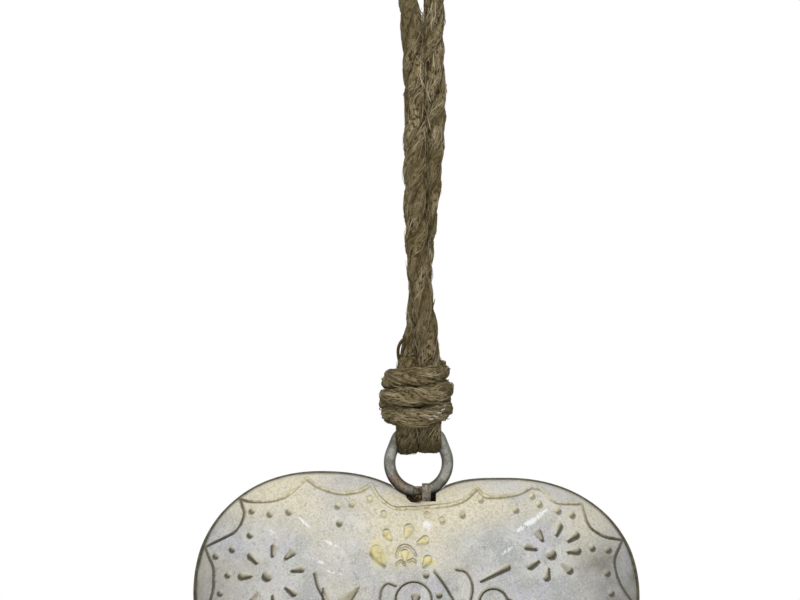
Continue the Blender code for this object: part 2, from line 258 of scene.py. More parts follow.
def whitewashed_iron():
    """Whitewash over sheet iron, rubbed back to gold and olive metal on the embossing."""
    look = Look("whitewashed_iron")
    blotch = look.noise(0.009, 3.0)
    cloud = look.noise(0.028, 2.0)
    tint = look.noise(0.006, 2.0)
    speck = look.noise(0.0014, 5.0, 0.7)
    fine = look.noise(0.0005, 3.0, 0.7)
    streak = look.noise(0.0016, 4.0, 0.7, None, (1.0, 1.0, 0.5))

    # Paint: cool grey white, warmer and brighter near the top, partly the paint's cream tone and partly
    # painted light from above, speckled, and bright white along scuffs, painted highlights and a painted
    # sheen
    cool = look.patches(blotch, 0.42, 0.58, (0.455, 0.46, 0.438), (0.612, 0.608, 0.575))
    cool = look.specks(cool, (0.56, 0.53, 0.59), tint, 0.50, 0.60, 0.5)
    warm = look.patches(speck, 0.42, 0.58, (0.64, 0.57, 0.39), (0.86, 0.79, 0.59))
    warmth = look.times(look.attribute("warm"), look.span(cloud, 0.35, 0.58, 0.3, 1.0))
    paint = look.mix(warmth, cool, warm)
    paint = look.specks(paint, (0.35, 0.335, 0.285), speck, 0.52, 0.64, 0.6)
    paint = look.mix(look.span(fine, 0.38, 0.50, 0.38, 0.0), paint, (0.82, 0.81, 0.78))
    paint = look.specks(paint, (0.30, 0.29, 0.26), fine, 0.54, 0.66, 0.30)
    # Bright white along scuffs, painted highlights and a painted sheen
    scuffs_and_sheen = look.times(look.attribute("scuff_and_sheen"), look.span(streak, 0.40, 0.56, 0.0, 0.85))
    paint = look.mix(scuffs_and_sheen, paint, (0.95, 0.95, 0.95))

    # Metal: dark on the ridges, olive on the drops and dots, gold where it is gilt, which near the top is
    # partly painted light from above
    gilt = look.attribute("gilt")
    ridge = look.patches(speck, 0.46, 0.62, (0.040, 0.031, 0.010), (0.115, 0.095, 0.045))
    gold = look.patches(speck, 0.42, 0.58, (0.45, 0.35, 0.15), (0.80, 0.72, 0.48))
    ridge = look.mix(gilt, ridge, gold)
    body = look.mix(gilt, (0.31, 0.265, 0.125), (0.76, 0.69, 0.45))
    body = look.specks(body, (0.17, 0.140, 0.065), speck, 0.45, 0.62, 0.5)
    metal = look.mix(look.attribute("plump"), ridge, body)
    # A dark brown outline round the gilt embossing, partly outline colour and partly painted shade on its
    # upper sides
    metal = look.mix(look.times(look.attribute("line"), gilt), metal, (0.20, 0.145, 0.05))
    # A pale painted highlight on the upper sides of the embossing
    metal = look.mix(look.times(look.attribute("lit"), 0.85), metal, (0.76, 0.71, 0.53))

    # Paint worn off the metal, less on the upper sides of drops and dots as a painted highlight, then yellow
    # gilding, painted shade beside the embossing, and painted shade towards the sides, along the rim and
    # inside, with a darker patch near the right edge
    torn = look.times(look.attribute("bare"), look.span(speck, 0.34, 0.46, 0.88, 1.0))
    colour = look.mix(torn, paint, metal)
    yellow = look.times(look.attribute("yellow"), look.span(speck, 0.36, 0.60, 0.95, 0.45))
    colour = look.mix(yellow, colour, (0.83, 0.71, 0.27))
    # Painted shade beside the embossing
    painted_shadow = look.times(look.attribute("shade"), look.span(fine, 0.2, 0.6, 1.0, 0.75))
    colour = look.mix(painted_shadow, colour, (0.022, 0.017, 0.004))
    # Painted shade towards the sides, along the rim and inside, with a darker patch near the right edge
    side_shade = look.times(look.attribute("side_shade"), look.span(blotch, 0.35, 0.6, 0.4, 1.0))
    colour = look.mix(side_shade, colour, (0.15, 0.14, 0.105))
    rough = look.span(speck, 0.2, 0.8, 0.40, 0.66)
    normal = look.bump(look.plus(speck, look.times(fine, 0.4)), 0.00018)
    return look.finish(colour, rough, look.times(torn, 0.1), normal, 0.08)


def dark_seam():
    """Olive-brown bare edge with a worn line of brighter metal."""
    look = Look("dark_seam")
    speck = look.noise(0.0014, 5.0, 0.7)
    colour = look.patches(speck, 0.3, 0.7, (0.045, 0.040, 0.020), (0.16, 0.14, 0.085))
    return look.finish(colour, look.span(speck, 0.2, 0.8, 0.45, 0.7), 0.4, look.bump(speck, 0.00015))


def galvanised_wire():
    """Zinc with painted light on the wire's front and back faces and painted shade on its sides, rusty where
    the attribute says.
    """
    look = Look("galvanised_wire")
    spangle = look.noise(0.0022, 3.0, 0.6)
    pit = look.noise(0.0007, 4.0, 0.7)
    lit_faces = look.patches(spangle, 0.38, 0.62, (0.20, 0.195, 0.160), (0.40, 0.395, 0.350))
    shaded_zinc = look.patches(spangle, 0.38, 0.62, (0.035, 0.032, 0.020), (0.12, 0.115, 0.090))
    zinc = look.mix(look.attribute("lit_faces"), shaded_zinc, lit_faces)
    zinc = look.specks(zinc, (0.11, 0.10, 0.07), pit, 0.54, 0.68, 0.6)
    rust = look.mix(look.attribute("lit_faces"), (0.035, 0.021, 0.007), (0.24, 0.18, 0.125))
    rust = look.specks(rust, (0.10, 0.065, 0.03), pit, 0.45, 0.62, 0.6)
    share = look.plus(look.attribute("rust"), look.span(pit, 0.30, 0.70, -0.35, 0.35))
    colour = look.patches(share, 0.15, 0.95, zinc, rust)
    return look.finish(colour, look.span(pit, 0.3, 0.7, 0.30, 0.55), 0.25, look.bump(pit, 0.00015))


def bare_iron():
    """Brown iron strap with worn brighter faces."""
    look = Look("bare_iron")
    speck = look.noise(0.0010, 4.0, 0.7)
    colour = look.patches(speck, 0.40, 0.62, (0.14, 0.11, 0.07), (0.36, 0.33, 0.265))
    return look.finish(colour, look.span(speck, 0.3, 0.7, 0.35, 0.65), 0.3, look.bump(speck, 0.00015))


def rusted_braze():
    """Brown brazing behind the ring, dark and rusty towards its foot."""
    look = Look("rusted_braze")
    speck = look.noise(0.0009, 4.0, 0.7)
    foot = look.patches(speck, 0.42, 0.64, (0.055, 0.028, 0.008), (0.22, 0.14, 0.050))
    worn = look.patches(speck, 0.42, 0.64, (0.10, 0.075, 0.045), (0.45, 0.37, 0.25))
    level = look.node("ShaderNodeSeparateXYZ")
    look.feed(level.inputs[0], look.places)
    height = look.plus(level.outputs["Z"], look.span(speck, 0.35, 0.65, -0.0006, 0.0006))
    colour = look.patches(height, -0.1998, -0.1974, foot, worn)
    return look.finish(colour, 0.8, 0.0, look.bump(speck, 0.0002), 0.3)


def jute():
    """Olive-brown jute: mottled strands with painted shade between them, under pale, middling and dark
    fibres.
    """
    look = Look("jute")
    flow = look.node("ShaderNodeUVMap", uv_map="fibre").outputs[0]
    hair = look.noise(1.0, 4.0, 0.65, flow, (2.6, 0.22, 1.0))
    thread = look.noise(1.0, 2.0, 0.5, flow, (1.1, 0.09, 1.0))
    spot = look.noise(0.0012, 2.0, 0.5)
    patch = look.noise(0.008, 2.0)
    base = look.patches(hair, 0.38, 0.62, (0.130, 0.098, 0.042), (0.372, 0.294, 0.155))
    base = look.specks(base, (0.46, 0.39, 0.25), thread, 0.52, 0.66, 0.7)
    base = look.mix(look.span(spot, 0.39, 0.48, 0.9, 0.0), base, (0.040, 0.023, 0.005))
    base = look.specks(base, (0.50, 0.43, 0.29), spot, 0.58, 0.68, 0.55)
    # Painted shade in the grooves between the strands
    base = look.specks(base, (0.028, 0.018, 0.004), look.attribute("groove_shade"), 0.0, 1.0, 0.8)
    tone = look.attribute("tone")
    fibre = look.patches(tone, 0.15, 0.5, (0.075, 0.050, 0.014), (0.290, 0.228, 0.118))
    fibre = look.patches(tone, 0.55, 0.95, fibre, (0.57, 0.49, 0.32))
    colour = look.mix(look.attribute("loose"), base, fibre)
    colour = look.specks(colour, (0.125, 0.090, 0.032), patch, 0.40, 0.60, 0.5)
    # Darker where the attribute says, as on the hitch strands towards the ring's bar
    colour = look.mix(look.attribute("darkened"), colour, (0.040, 0.028, 0.006))
    colour = look.patches(tone, 1.0, 1.5, colour, (0.86, 0.79, 0.62))
    normal = look.bump(look.plus(hair, look.times(thread, 0.8)), 0.0005)
    return look.finish(colour, 0.92, 0.0, normal, 0.2)


# Meshes


def add_mesh(name, points, faces, material, body, replaced=(), smooth=True):
    """A mesh piece that rides on a body and stands for the nodes named in replaced."""
    data = bpy.data.meshes.new(name)
    data.from_pydata([tuple(p) for p in points], [], faces)
    data.materials.append(material)
    if smooth:
        data.shade_smooth()
    piece = link(bpy.data.objects.new(name, data))
    if body:
        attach(piece, body)
    if replaced:
        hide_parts(*replaced)
    return piece


def set_attribute(piece, name, values):
    """A number for each point of the mesh, which a material reads by name."""
    made = piece.data.attributes.new(name, "FLOAT", "POINT")
    made.data.foreach_set("value", np.asarray(values, dtype=np.float32))


def along(points):
    """Distance from the start to each point of a route."""
    steps = np.linalg.norm(np.diff(points, axis=0), axis=1)
    return np.concatenate([[0.0], np.cumsum(steps)])


def resample(points, step):
    """The same route with evenly spaced points about a step apart."""
    points = np.asarray(points, dtype=float)
    reach = along(points)
    count = max(2, int(round(reach[-1] / step)))
    places = np.linspace(0, reach[-1], count + 1)
    return np.stack([np.interp(places, reach, points[:, i]) for i in range(3)], axis=1)


def smooth_route(points, per_span=16):
    """A Catmull-Rom curve through the points."""
    p = np.asarray(points, dtype=float)
    ends = np.vstack([2 * p[0] - p[1], p, 2 * p[-1] - p[-2]])
    t = np.arange(per_span)[:, None] / per_span
    spans = []
    for i in range(len(p) - 1):
        a, b, c, d = ends[i : i + 4]
        spans.append(
            0.5 * (2 * b + (c - a) * t + (2 * a - 5 * b + 4 * c - d) * t**2 + (3 * b - a - 3 * c + d) * t**3)
        )
    return np.vstack([*spans, p[-1:]])


def unit(vectors):
    """The same directions with a length of 1."""
    return vectors / np.maximum(np.linalg.norm(vectors, axis=-1, keepdims=True), 1e-12)


def carried_frames(points):
    """Tangents, and two cross directions that are carried along the route without twist."""
    tangents = unit(np.gradient(points, axis=0))
    normals = np.empty_like(points)
    normal = np.array([0.0, -1.0, 0.0])
    for i, tangent in enumerate(tangents):
        normal = normal - tangent * normal.dot(tangent)
        normal /= np.linalg.norm(normal)
        normals[i] = normal
    return tangents, normals, np.cross(tangents, normals)


def bands(rows, columns, start=0):
    """Faces of a strip of rows, each row a ring of columns points."""
    i, j = np.meshgrid(np.arange(rows - 1), np.arange(columns), indexing="ij")
    k = (j + 1) % columns
    here, ahead = i * columns + start, (i + 1) * columns + start
    quads = np.stack([here + j, here + k, ahead + k, ahead + j], axis=-1)
    return quads.reshape(-1, 4).tolist()


def capped(rows, columns, start=0):
    """Faces of the same strip, with one face over each end."""
    last = start + (rows - 1) * columns
    ends = [list(range(start, start + columns))[::-1], list(range(last, last + columns))]
    return bands(rows, columns, start) + ends


def swing(first, second, angles):
    """The first direction, turned by angles towards the second."""
    return np.cos(angles)[..., None] * first + np.sin(angles)[..., None] * second


def add_tube(name, points, radii, sides, material, body, replaced=(), closed=False):
    """A round tube along the points, closed in a loop or capped at its ends."""
    points = np.asarray(points, dtype=float)
    _, normals, cross = carried_frames(points)
    angles = np.arange(sides) * TURN / sides
    radii = np.broadcast_to(radii, len(points))[:, None, None]
    places = points[:, None] + radii * swing(normals[:, None], cross[:, None], angles[None])
    if closed:
        last = (len(points) - 1) * sides
        faces = bands(len(points), sides)
        faces += [[last + j, last + (j + 1) % sides, (j + 1) % sides, j] for j in range(sides)]
    else:
        faces = capped(len(points), sides)
    return add_mesh(name, places.reshape(-1, 3), faces, material, body, replaced)


# Rope

ROPE_RADIUS = 0.0032
LAY_PITCH = 0.029
STRAND_SHARE = 0.37
THIN_LOOP = 0.12
THIN_FROM = (-0.072, -0.062)
WAVE_STEP = 0.006
SIZE_WAVE = 0.03
LAY_WAVE = 0.30
LUMP = 0.03
LUMP_LENGTH = 0.005
ROUGH = 0.014
ARC_POINTS = 12
ARC_HALF = math.radians(112)
FIBRE_STEPS = 5
FIBRE_THICKNESS = 0.00006
TAPER = (0.35, 0.9, 1.0, 1.0, 0.85, 0.3)
FIBRE_LENGTHS = (0.0025, 0.0085)
# Radians that a fibre slants per metre: the middle value and the spread
FIBRE_SLANT = (-130, 190)
FIBRE_SPREAD = 1.35
FIBRE_WAVE = 0.10
# Least, usual and greatest distance of a fibre from its strand
FIBRE_LIFT = (0.00003, 0.00007, 0.0004)
STRAY_SHARE = 0.035
STRAY_LIFT = (0.0002, 0.0010)
VALLEY_FIBRES = 900
VALLEY_FOOT = -0.158
VALLEY_LENGTHS = (0.002, 0.0065)

# Height, middle of the pair, half the pair's spacing, turn of the pair in degrees
LEG_ROUTE = (
    (-0.0200, 0.0000, 0.0108, 0),
    (-0.0330, 0.0002, 0.0079, 0),
    (-0.0480, 0.0005, 0.0049, 0),
    (-0.0620, 0.0009, 0.0035, 0),
    (-0.0740, 0.0013, 0.0031, 0),
    (-0.0880, 0.0019, 0.0031, 8),
    (-0.1020, 0.0015, 0.0031, 28),
    (-0.1160, 0.0008, 0.0031, 50),
    (-0.1300, 0.0003, 0.0031, 74),
    (-0.1406, 0.0004, 0.0031, 94),
    (-0.1480, 0.0007, 0.0031, 108),
    (-0.1535, 0.0008, 0.0031, 124),
    (-0.1570, 0.0005, 0.0031, 138),
    (-0.1594, 0.0002, 0.0031, 148),
    (-0.1660, 0.0000, 0.0029, 165),
)
LOOP_BEND = 0.012
LOOP_STEPS = 9
LOOP_TOP = 0.0029
PRESS_FROM = -0.0640
PRESS_EASE = 0.006
PRESS_REACH = 0.0019
PRESS_DRAWN = 0.00035


def leg(side):
    """Points down one leg of the rope."""
    points = []
    for height, middle, half, turn in LEG_ROUTE:
        angle = math.radians(turn)
        points.append((middle + side * half * math.cos(angle), side * half * math.sin(angle), height))
    return points


def rope_route():
    """The free rope, from the knot up the left leg, over the loop and down the right leg."""
    top = []
    for i in range(LOOP_STEPS + 1):
        angle = math.pi * (1 - i / LOOP_STEPS)
        height = LOOP_TOP - LOOP_BEND + LOOP_BEND * math.sin(angle)
        top.append((LOOP_BEND * math.cos(angle), 0, height))
    return [*leg(-1)[::-1], *top, *leg(1)]


def pair_at(heights):
    """Middle of the pair of legs at heights, and the direction from one leg to the other."""
    rows = np.array(LEG_ROUTE)[::-1]
    middle = np.interp(heights, rows[:, 0], rows[:, 1])
    turn = np.radians(np.interp(heights, rows[:, 0], rows[:, 3]))
    zero = np.zeros_like(middle)
    return np.stack([middle, zero, heights], -1), np.stack([np.cos(turn), np.sin(turn), zero], -1)


def press_legs(points):
    """The legs' points, with the sides that bear on each other pressed flat and drawn together."""
    middle, across = pair_at(points[:, 2])
    apart = np.sum((points - middle) * across, axis=1)
    share = smooth_step(np.abs(apart), 0.0002, PRESS_REACH)
    held = smooth_step(PRESS_FROM - points[:, 2], 0, PRESS_EASE)
    drawn = PRESS_DRAWN * np.sign(apart) * smooth_step(np.abs(apart), 0, PRESS_REACH)
    return points + across * (held * (apart * (share - 1) - drawn))[:, None]


def fibre_tubes(middles, thick, start):
    """Thin closed tubes along rows of points: their points and faces, numbered from start."""
    heading = unit(np.gradient(middles, axis=1))
    first = unit(np.cross(heading, np.array([0.31, 0.90, 0.17])))
    second = np.cross(heading, first)
    spokes = (first, -0.5 * first + 0.87 * second, -0.5 * first - 0.87 * second)
    points = np.stack([middles + spoke * thick[..., None] for spoke in spokes], axis=2)
    count, rows = middles.shape[:2]
    offsets = start + 3 * rows * np.arange(count)[:, None, None]
    sides = np.array(bands(rows, 3))[None] + offsets
    ends = np.array([[2, 1, 0], [3 * rows - 3, 3 * rows - 2, 3 * rows - 1]])[None] + offsets
    return points.reshape(-1, 3), sides.reshape(-1, 4).tolist() + ends.reshape(-1, 3).tolist()


def coat(strands, step, count, rng):
    """Middle lines of fibres that lie along the strands, a little proud of them."""
    middle, out, side, spoke = strands
    which = rng.integers(0, 3, count)[:, None]
    length = rng.uniform(*FIBRE_LENGTHS, count)
    length[: count // 3] *= 0.5
    first = rng.uniform(0, 1, count) * (middle.shape[1] - 2 - length / step)
    t = np.linspace(0, 1, FIBRE_STEPS + 1)[None]
    places = first[:, None] + (length / step)[:, None] * t
    below = places.astype(int)
    share = places - below

    def at(values):
        weight = share.reshape(share.shape + (1,) * (values.ndim - 2))
        return values[which, below] * (1 - weight) + values[which, below + 1] * weight

    slant = rng.normal(*FIBRE_SLANT, count)[:, None] * length[:, None]
    angle = rng.uniform(-FIBRE_SPREAD, FIBRE_SPREAD, count)[:, None] + slant * (t - 0.5)
    angle = angle + rng.normal(0, FIBRE_WAVE, count)[:, None] * np.sin(TURN * t)
    low, usual, most = FIBRE_LIFT
    lift = low + np.minimum(rng.exponential(usual, count), most)[:, None] * np.sin(math.pi * t)
    stray = rng.uniform(0, 1, count) < STRAY_SHARE
    lift = lift + (stray * rng.uniform(*STRAY_LIFT, count))[:, None] * t**2
    return at(middle) + (at(spoke) + lift)[..., None] * swing(at(out), at(side), angle)


def tones(count, rng):
    """How pale each fibre is: a quarter pale, half middling and a quarter dark."""
    kind = rng.choice([0.12, 0.5, 0.9], count, p=[0.25, 0.50, 0.25])
    return np.clip(kind + rng.normal(0, 0.1, count), 0, 1)


def smooth_step(value, low, high):
    """From 0 at low to 1 at high, level at both ends."""
    t = np.clip((value - low) / (high - low), 0, 1)
    return t * t * (3 - 2 * t)


def laid_rope(route, radius, step, phase, seed, fibres, lay=STRAND_SHARE, extra=None):
    """Three laid strands under a coat of fibres: points, faces, fibre places and numbers."""
    rng = np.random.default_rng(seed)
    line = resample(route, step)
    rows = len(line)
    reach = along(line)
    _, normals, cross = carried_frames(line)
    marks = np.arange(0, reach[-1] + 0.02, WAVE_STEP)
    size = radius * (1 + SIZE_WAVE * np.interp(reach, marks, rng.normal(0, 1, len(marks))))
    size = size * (1 - THIN_LOOP * smooth_step(line[:, 2], *THIN_FROM))
    sway = LAY_WAVE * np.interp(reach, marks, rng.normal(0, 1, len(marks)))
    angles = np.linspace(-ARC_HALF, ARC_HALF, ARC_POINTS)
    columns = ARC_POINTS + 1
    spoke = size * (1 - lay)
    around = np.append(angles, math.pi)[None] * np.full((rows, 1), radius * (1 - lay) / MM)
    down = np.repeat(reach[:, None] / MM, columns, 1)
    points, faces, flow, groove_shade, strands = [], [], [], [], []
    for strand in range(3):
        out = swing(normals, cross, TURN * (reach / LAY_PITCH + strand / 3) + phase + sway)
        middle = line + out * (size * lay)[:, None]
        heading = unit(np.gradient(middle, axis=0))
        out = unit(out - heading * np.sum(out * heading, axis=1, keepdims=True))
        side = np.cross(heading, out)
        lump = 1 + LUMP * np.sin(reach[:, None] * TURN / LUMP_LENGTH + 3 * angles[None] + strand)
        lump = spoke[:, None] * (lump + rng.normal(0, ROUGH, (rows, ARC_POINTS)))
        rim = middle[:, None] + lump[..., None] * swing(out[:, None], side[:, None], angles[None])
        core = (line + 0.1 * (middle - line))[:, None]
        section = np.concatenate([rim, core], axis=1)
        points.append(section.reshape(-1, 3))
        faces += capped(rows, columns, strand * rows * columns)
        flow.append(np.stack([around + 0.25 * down + 40 * strand, down], -1).reshape(-1, 2))
        apart = np.linalg.norm(section - line[:, None], axis=2) / size[:, None]
        # How deep in the grooves between strands each point lies, for painted shade there
        groove_shade.append(np.clip((0.95 - apart) / (0.65 * lay), 0, 1).reshape(-1))
        strands.append((middle, out, side, spoke))
    points = np.vstack(points)
    middles = coat([np.stack(parts) for parts in zip(*strands)], step, fibres, rng)
    if extra:
        middles = np.concatenate([middles, extra(rng)])
    bundles = np.where(rng.uniform(0, 1, len(middles)) < 0.3, 1.9, 1.0)
    thick = FIBRE_THICKNESS * (bundles * rng.uniform(0.7, 1.5, len(middles)))[:, None] * np.array(TAPER)[None]
    more_points, more_faces = fibre_tubes(middles, thick, len(points))
    each = 3 * (FIBRE_STEPS + 1)
    bare = np.zeros(len(points))
    numbers = {
        "groove_shade": np.concatenate([*groove_shade, np.zeros(len(more_points))]),
        "loose": np.concatenate([bare, np.ones(len(more_points))]),
        "tone": np.concatenate([bare, np.repeat(tones(len(middles), rng), each)]),
    }
    flow = np.vstack([*flow, np.repeat(rng.uniform(0, 50, (len(middles), 2)), each, axis=0)])
    return np.vstack([points, more_points]), faces + more_faces, flow, numbers


def add_rope(name, body, replaced, press, darkened=None, **lay):
    """A rope piece. Press shapes its points, and the optional function after it says how much darker each of
    them is.
    """
    points, faces, flow, numbers = laid_rope(**lay)
    numbers["darkened"] = darkened(points) if darkened else np.zeros(len(points))
    piece = add_mesh(name, press(points), faces, JUTE, body, replaced)
    corner = np.empty(len(piece.data.loops), dtype=np.int32)
    piece.data.loops.foreach_get("vertex_index", corner)
    layer = piece.data.uv_layers.new(name="fibre")
    layer.data.foreach_set("uv", flow[corner].astype(np.float32).ravel())
    for key, values in numbers.items():
        set_attribute(piece, key, values)
    return piece


def valley_fibres(rng):
    """Fibres across the valleys in front and behind, where the legs lie against each other."""
    count = VALLEY_FIBRES
    t = np.linspace(0, 1, FIBRE_STEPS + 1)[None]
    height = rng.uniform(VALLEY_FOOT, PRESS_FROM, count)[:, None]
    length = rng.uniform(*VALLEY_LENGTHS, count)[:, None]
    apart = rng.normal(0, 0.0009, count)[:, None] + rng.normal(0, 0.35, count)[:, None] * length * (t - 0.5)
    height = height + length * (t - 0.5)
    rise = 0.0020 + 0.0008 * smooth_step(np.abs(apart), 0, 0.0014) + 0.00025 * np.sin(math.pi * t)
    rise = rise * np.where(np.arange(count) % 2, 1, -1)[:, None]
    middle, across = pair_at(height)
    forward = np.stack([-across[..., 1], across[..., 0], across[..., 2]], -1)
    return middle + across * apart[..., None] + forward * rise[..., None]


JUTE = jute()
route = smooth_route(rope_route())
rope = add_rope(
    "free_rope", None, (), press_legs,
    route=route, radius=ROPE_RADIUS, step=0.0009, phase=0.4, seed=11, fibres=5200, extra=valley_fibres,
)


# Knot

KNOT_FOOT = -0.179275
WRAP_MIDDLE = -0.0007
WRAP_RADIUS = 0.0077
# Where the winding narrows at its top and foot, and by how much
WRAP_NARROW = ((-0.1700, -0.1645, 0.0011), (-0.1775, -0.1735, 0.0004))
WRAP_PITCH = 0.0053
WRAP_SLACK = 0.0003
WRAP_TURNS = 2.75
WRAP_START = math.radians(-160)
WRAP_SIZE = 0.00275
WRAP_SQUARE = 2.9
WRAP_LAY = 0.30
KNOT_STEP = 0.0006
BAR_RADIUS = 0.00165
PRESS_HEIGHT = 0.005
PRESS = 0.28
PRESS_MORE = 0.06
HITCH_SIZE = 0.0032
HITCH_LAY = 0.22
HITCH_NEAR = 0.0028
HITCH_SPREAD = 0.0030
HITCH_BIGHT = 0.0045

# Loose yarn and thread in millimetres, heights from the rope's bearing
LOOSE_LOOP = (
    (-3.6, -1.2, -154.6), (-4.9, -1.7, -155.6), (-5.7, -1.8, -157.6), (-5.5, -1.4, -160.4),
    (-4.4, -0.8, -163.0),
)
LOOSE_RADIUS = 0.00045
THREAD_ENDS = ((2.8, -177.2), (7.6, -173.4))
THREAD_PROUD = 0.25
THREAD_LAY = 1.4
THREAD_SPREAD = 0.28
THREAD_RADIUS = 0.00022


def wrap_radius(height):
    """The winding is widest in the middle and narrow at the top."""
    (low, high, top), (low_foot, high_foot, foot) = WRAP_NARROW
    narrower = top * smooth_step(height, low, high) + foot * smooth_step(-height, -high_foot, -low_foot)
    return WRAP_RADIUS - narrower


def wrap_height(turn):
    """Height of the winding's middle line after a number of turns, with its slack."""
    angle = WRAP_START + TURN * turn
    slack = WRAP_SLACK * math.sin(2 * angle + 0.7)
    low = max(0, 1 - max(0, turn) / 0.9)
    sag = low * (0.0014 - 0.0022 * math.exp(-(((turn - 0.20) / 0.17) ** 2)))
    return KNOT_FOOT + 0.00235 + WRAP_PITCH * turn + slack + sag


def wrap_route():
    """The winding: one helix upwards, whose ends tuck in behind."""
    points = []
    count = 100
    for i in range(-5, count + 1):
        turn = WRAP_TURNS * i / count
        angle = WRAP_START + TURN * turn
        height = wrap_height(turn)
        width = wrap_radius(height) + min(0, i) * 0.0007
        depth = width + 0.0024 * min(1, max(0, (-0.166 - height) / 0.0152))
        points.append((WRAP_MIDDLE + width * math.cos(angle), depth * math.sin(angle), height))
    last = Vector(points[-1]) - Vector(points[-2])
    end = Vector(points[-1]) + last.normalized() * 0.0016 + Vector((0.0012, -0.0030, -0.0012))
    return [*points, tuple(end)]


def squarer(share):
    """How much further out a round section's edge goes when it is pressed towards a square."""
    share = np.clip(share, 0, 0.86)
    return (1 - share**WRAP_SQUARE) ** (1 / WRAP_SQUARE) / np.sqrt(1 - share**2)


def press_wraps(points):
    """The turns' points, with each turn pressed square by the turns next to it."""
    line = np.array(wrap_route())[:-1]
    x = points[:, 0] - WRAP_MIDDLE
    radius = np.hypot(x, points[:, 1])
    gap = points[:, None] - line[None]
    near = np.argmin(np.sum(gap**2, axis=2), axis=1)
    own = np.hypot(line[near, 0] - WRAP_MIDDLE, line[near, 1])
    proud = radius - own
    fuller = squarer(np.abs(points[:, 2] - line[near, 2]) / WRAP_SIZE)
    scale = np.where(proud > 0, (own + proud * fuller) / np.maximum(radius, 1e-6), 1)
    return np.stack([WRAP_MIDDLE + x * scale, points[:, 1] * scale, points[:, 2]], 1)


def squash_on_bar(points):
    """Strand points pressed flat where the strand bears on the ring's bar."""
    y = points[:, 1]
    z = points[:, 2] - BAR_HEIGHT
    reach = np.hypot(y, np.minimum(z, 0))
    share = np.clip(1 - z / PRESS_HEIGHT, 0, 1)
    wide = np.abs(np.abs(points[:, 0]) - HITCH_SPREAD) / HITCH_SIZE
    proud = reach - HITCH_BIGHT
    full = np.where(proud > 0, HITCH_BIGHT + proud * (1 + (squarer(wide) - 1) * share), reach)
    press = np.where(points[:, 0] > 0, PRESS + PRESS_MORE, PRESS)
    pressed = np.where(reach > BAR_RADIUS, BAR_RADIUS + (full - BAR_RADIUS) * (1 - press * share), reach)
    scale = pressed / np.maximum(reach, 1e-6)
    points[:, 1] = y * scale
    points[:, 2] = BAR_HEIGHT + np.where(z < 0, z * scale, z)
    return points


def hitch_darkening(points):
    """The strands are darker towards the ring's bar."""
    return 0.20 + 0.45 * smooth_step(-points[:, 2], 0.1800, 0.1870)


def hitch_route(side):
    """One strand from inside the knot, down in front of the ring's bar, under it and up behind."""
    near = side * HITCH_NEAR
    spread = side * HITCH_SPREAD
    points = [(near, 0, -0.1610), (near, -0.0020, -0.1650), (near, -0.0030, -0.1700)]
    points.append((spread, -0.0040, -0.1755))
    for angle in np.linspace(0, math.pi, 9):
        points.append((spread, -HITCH_BIGHT * math.cos(angle), BAR_HEIGHT - HITCH_BIGHT * math.sin(angle)))
    return [*points, (spread, 0.0040, -0.1755), (near, 0.0030, -0.1700)]


winding = add_rope(
    "knot_winding", "knot", ("rope_wrap",), press_wraps,
    route=smooth_route(wrap_route(), 3), radius=WRAP_SIZE, step=KNOT_STEP, phase=1.0, seed=23, fibres=2600,
    lay=WRAP_LAY,
)
for name, side, phase, seed in (("left", -1, 0.9, 31), ("right", 1, 1.3, 37)):
    add_rope(
        f"strand_{name}", "knot", (f"hitch_{name}",), squash_on_bar, hitch_darkening,
        route=smooth_route(hitch_route(side), 6), radius=HITCH_SIZE, step=KNOT_STEP, phase=phase, seed=seed,
        fibres=900, lay=HITCH_LAY,
    )


def add_thread(name, points, radius, tone):
    """A loose yarn or thread by the knot."""
    piece = add_tube(name, smooth_route(points, 8), radius, 8, JUTE, "knot")
    piece.data.uv_layers.new(name="fibre")
    for key, value in {"groove_shade": 0, "loose": 1, "tone": tone, "darkened": 0}.items():
        set_attribute(piece, key, np.full(len(piece.data.vertices), value))


def winding_face(x, z):
    """Depth of the winding's face at a place seen from the front. All in millimetres."""
    _, place, _, _ = winding.ray_cast((x * MM, -0.03, z * MM), (0, 1, 0))
    return place.y / MM


def add_loose_ends():
    """A loop of yarn beside the knot's top, and a pale two-ply thread across its lowest turn."""
    add_thread("loose_loop", [tuple(v * MM for v in point) for point in LOOSE_LOOP], LOOSE_RADIUS, 0.1)
    start, end = np.array(THREAD_ENDS)
    share = np.linspace(0, 1, 40)
    bow = 0.45 * np.sin(math.pi * share) + 0.15 * np.sin(3 * TURN * share)
    seen = start + (end - start) * share[:, None] + np.array([0.6, -0.8]) * bow[:, None]
    face = np.array([winding_face(x, z) for x, z in seen])
    face = np.convolve(np.pad(face, 3, "edge"), np.full(7, 1 / 7), "valid")
    middle = np.stack([seen[:, 0], face - THREAD_PROUD, seen[:, 1]], 1)
    for ply in (0, 1):
        turn = math.pi * ply + TURN * share * np.linalg.norm(end - start) / THREAD_LAY
        wound = np.stack([-0.6 * np.sin(turn), np.cos(turn), 0.8 * np.sin(turn)], 1) * THREAD_SPREAD
        add_thread(f"thread_ply_{ply + 1}", ((middle + wound) * MM).tolist(), THREAD_RADIUS, 1.4 - 0.9 * ply)


add_loose_ends()

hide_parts("rope_loop")
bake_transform(rope)


# Ring and strap

RING_WIRE = 0.0033
RING_RADIUS = 0.0081
RING_CENTRE = -0.189425
RING_TOP_HALF = 0.0063
RING_CORNER = 0.0026
RING_GAP_ANGLES = (-99.3, -85.0)
RING_CLEARANCE = 0.0001
RING_SIDES = 24
# Share of the wire's radius at its end and at the two next points
WIRE_END = (0.80, 0.93, 0.99)
LEAST_RUST = 0.06
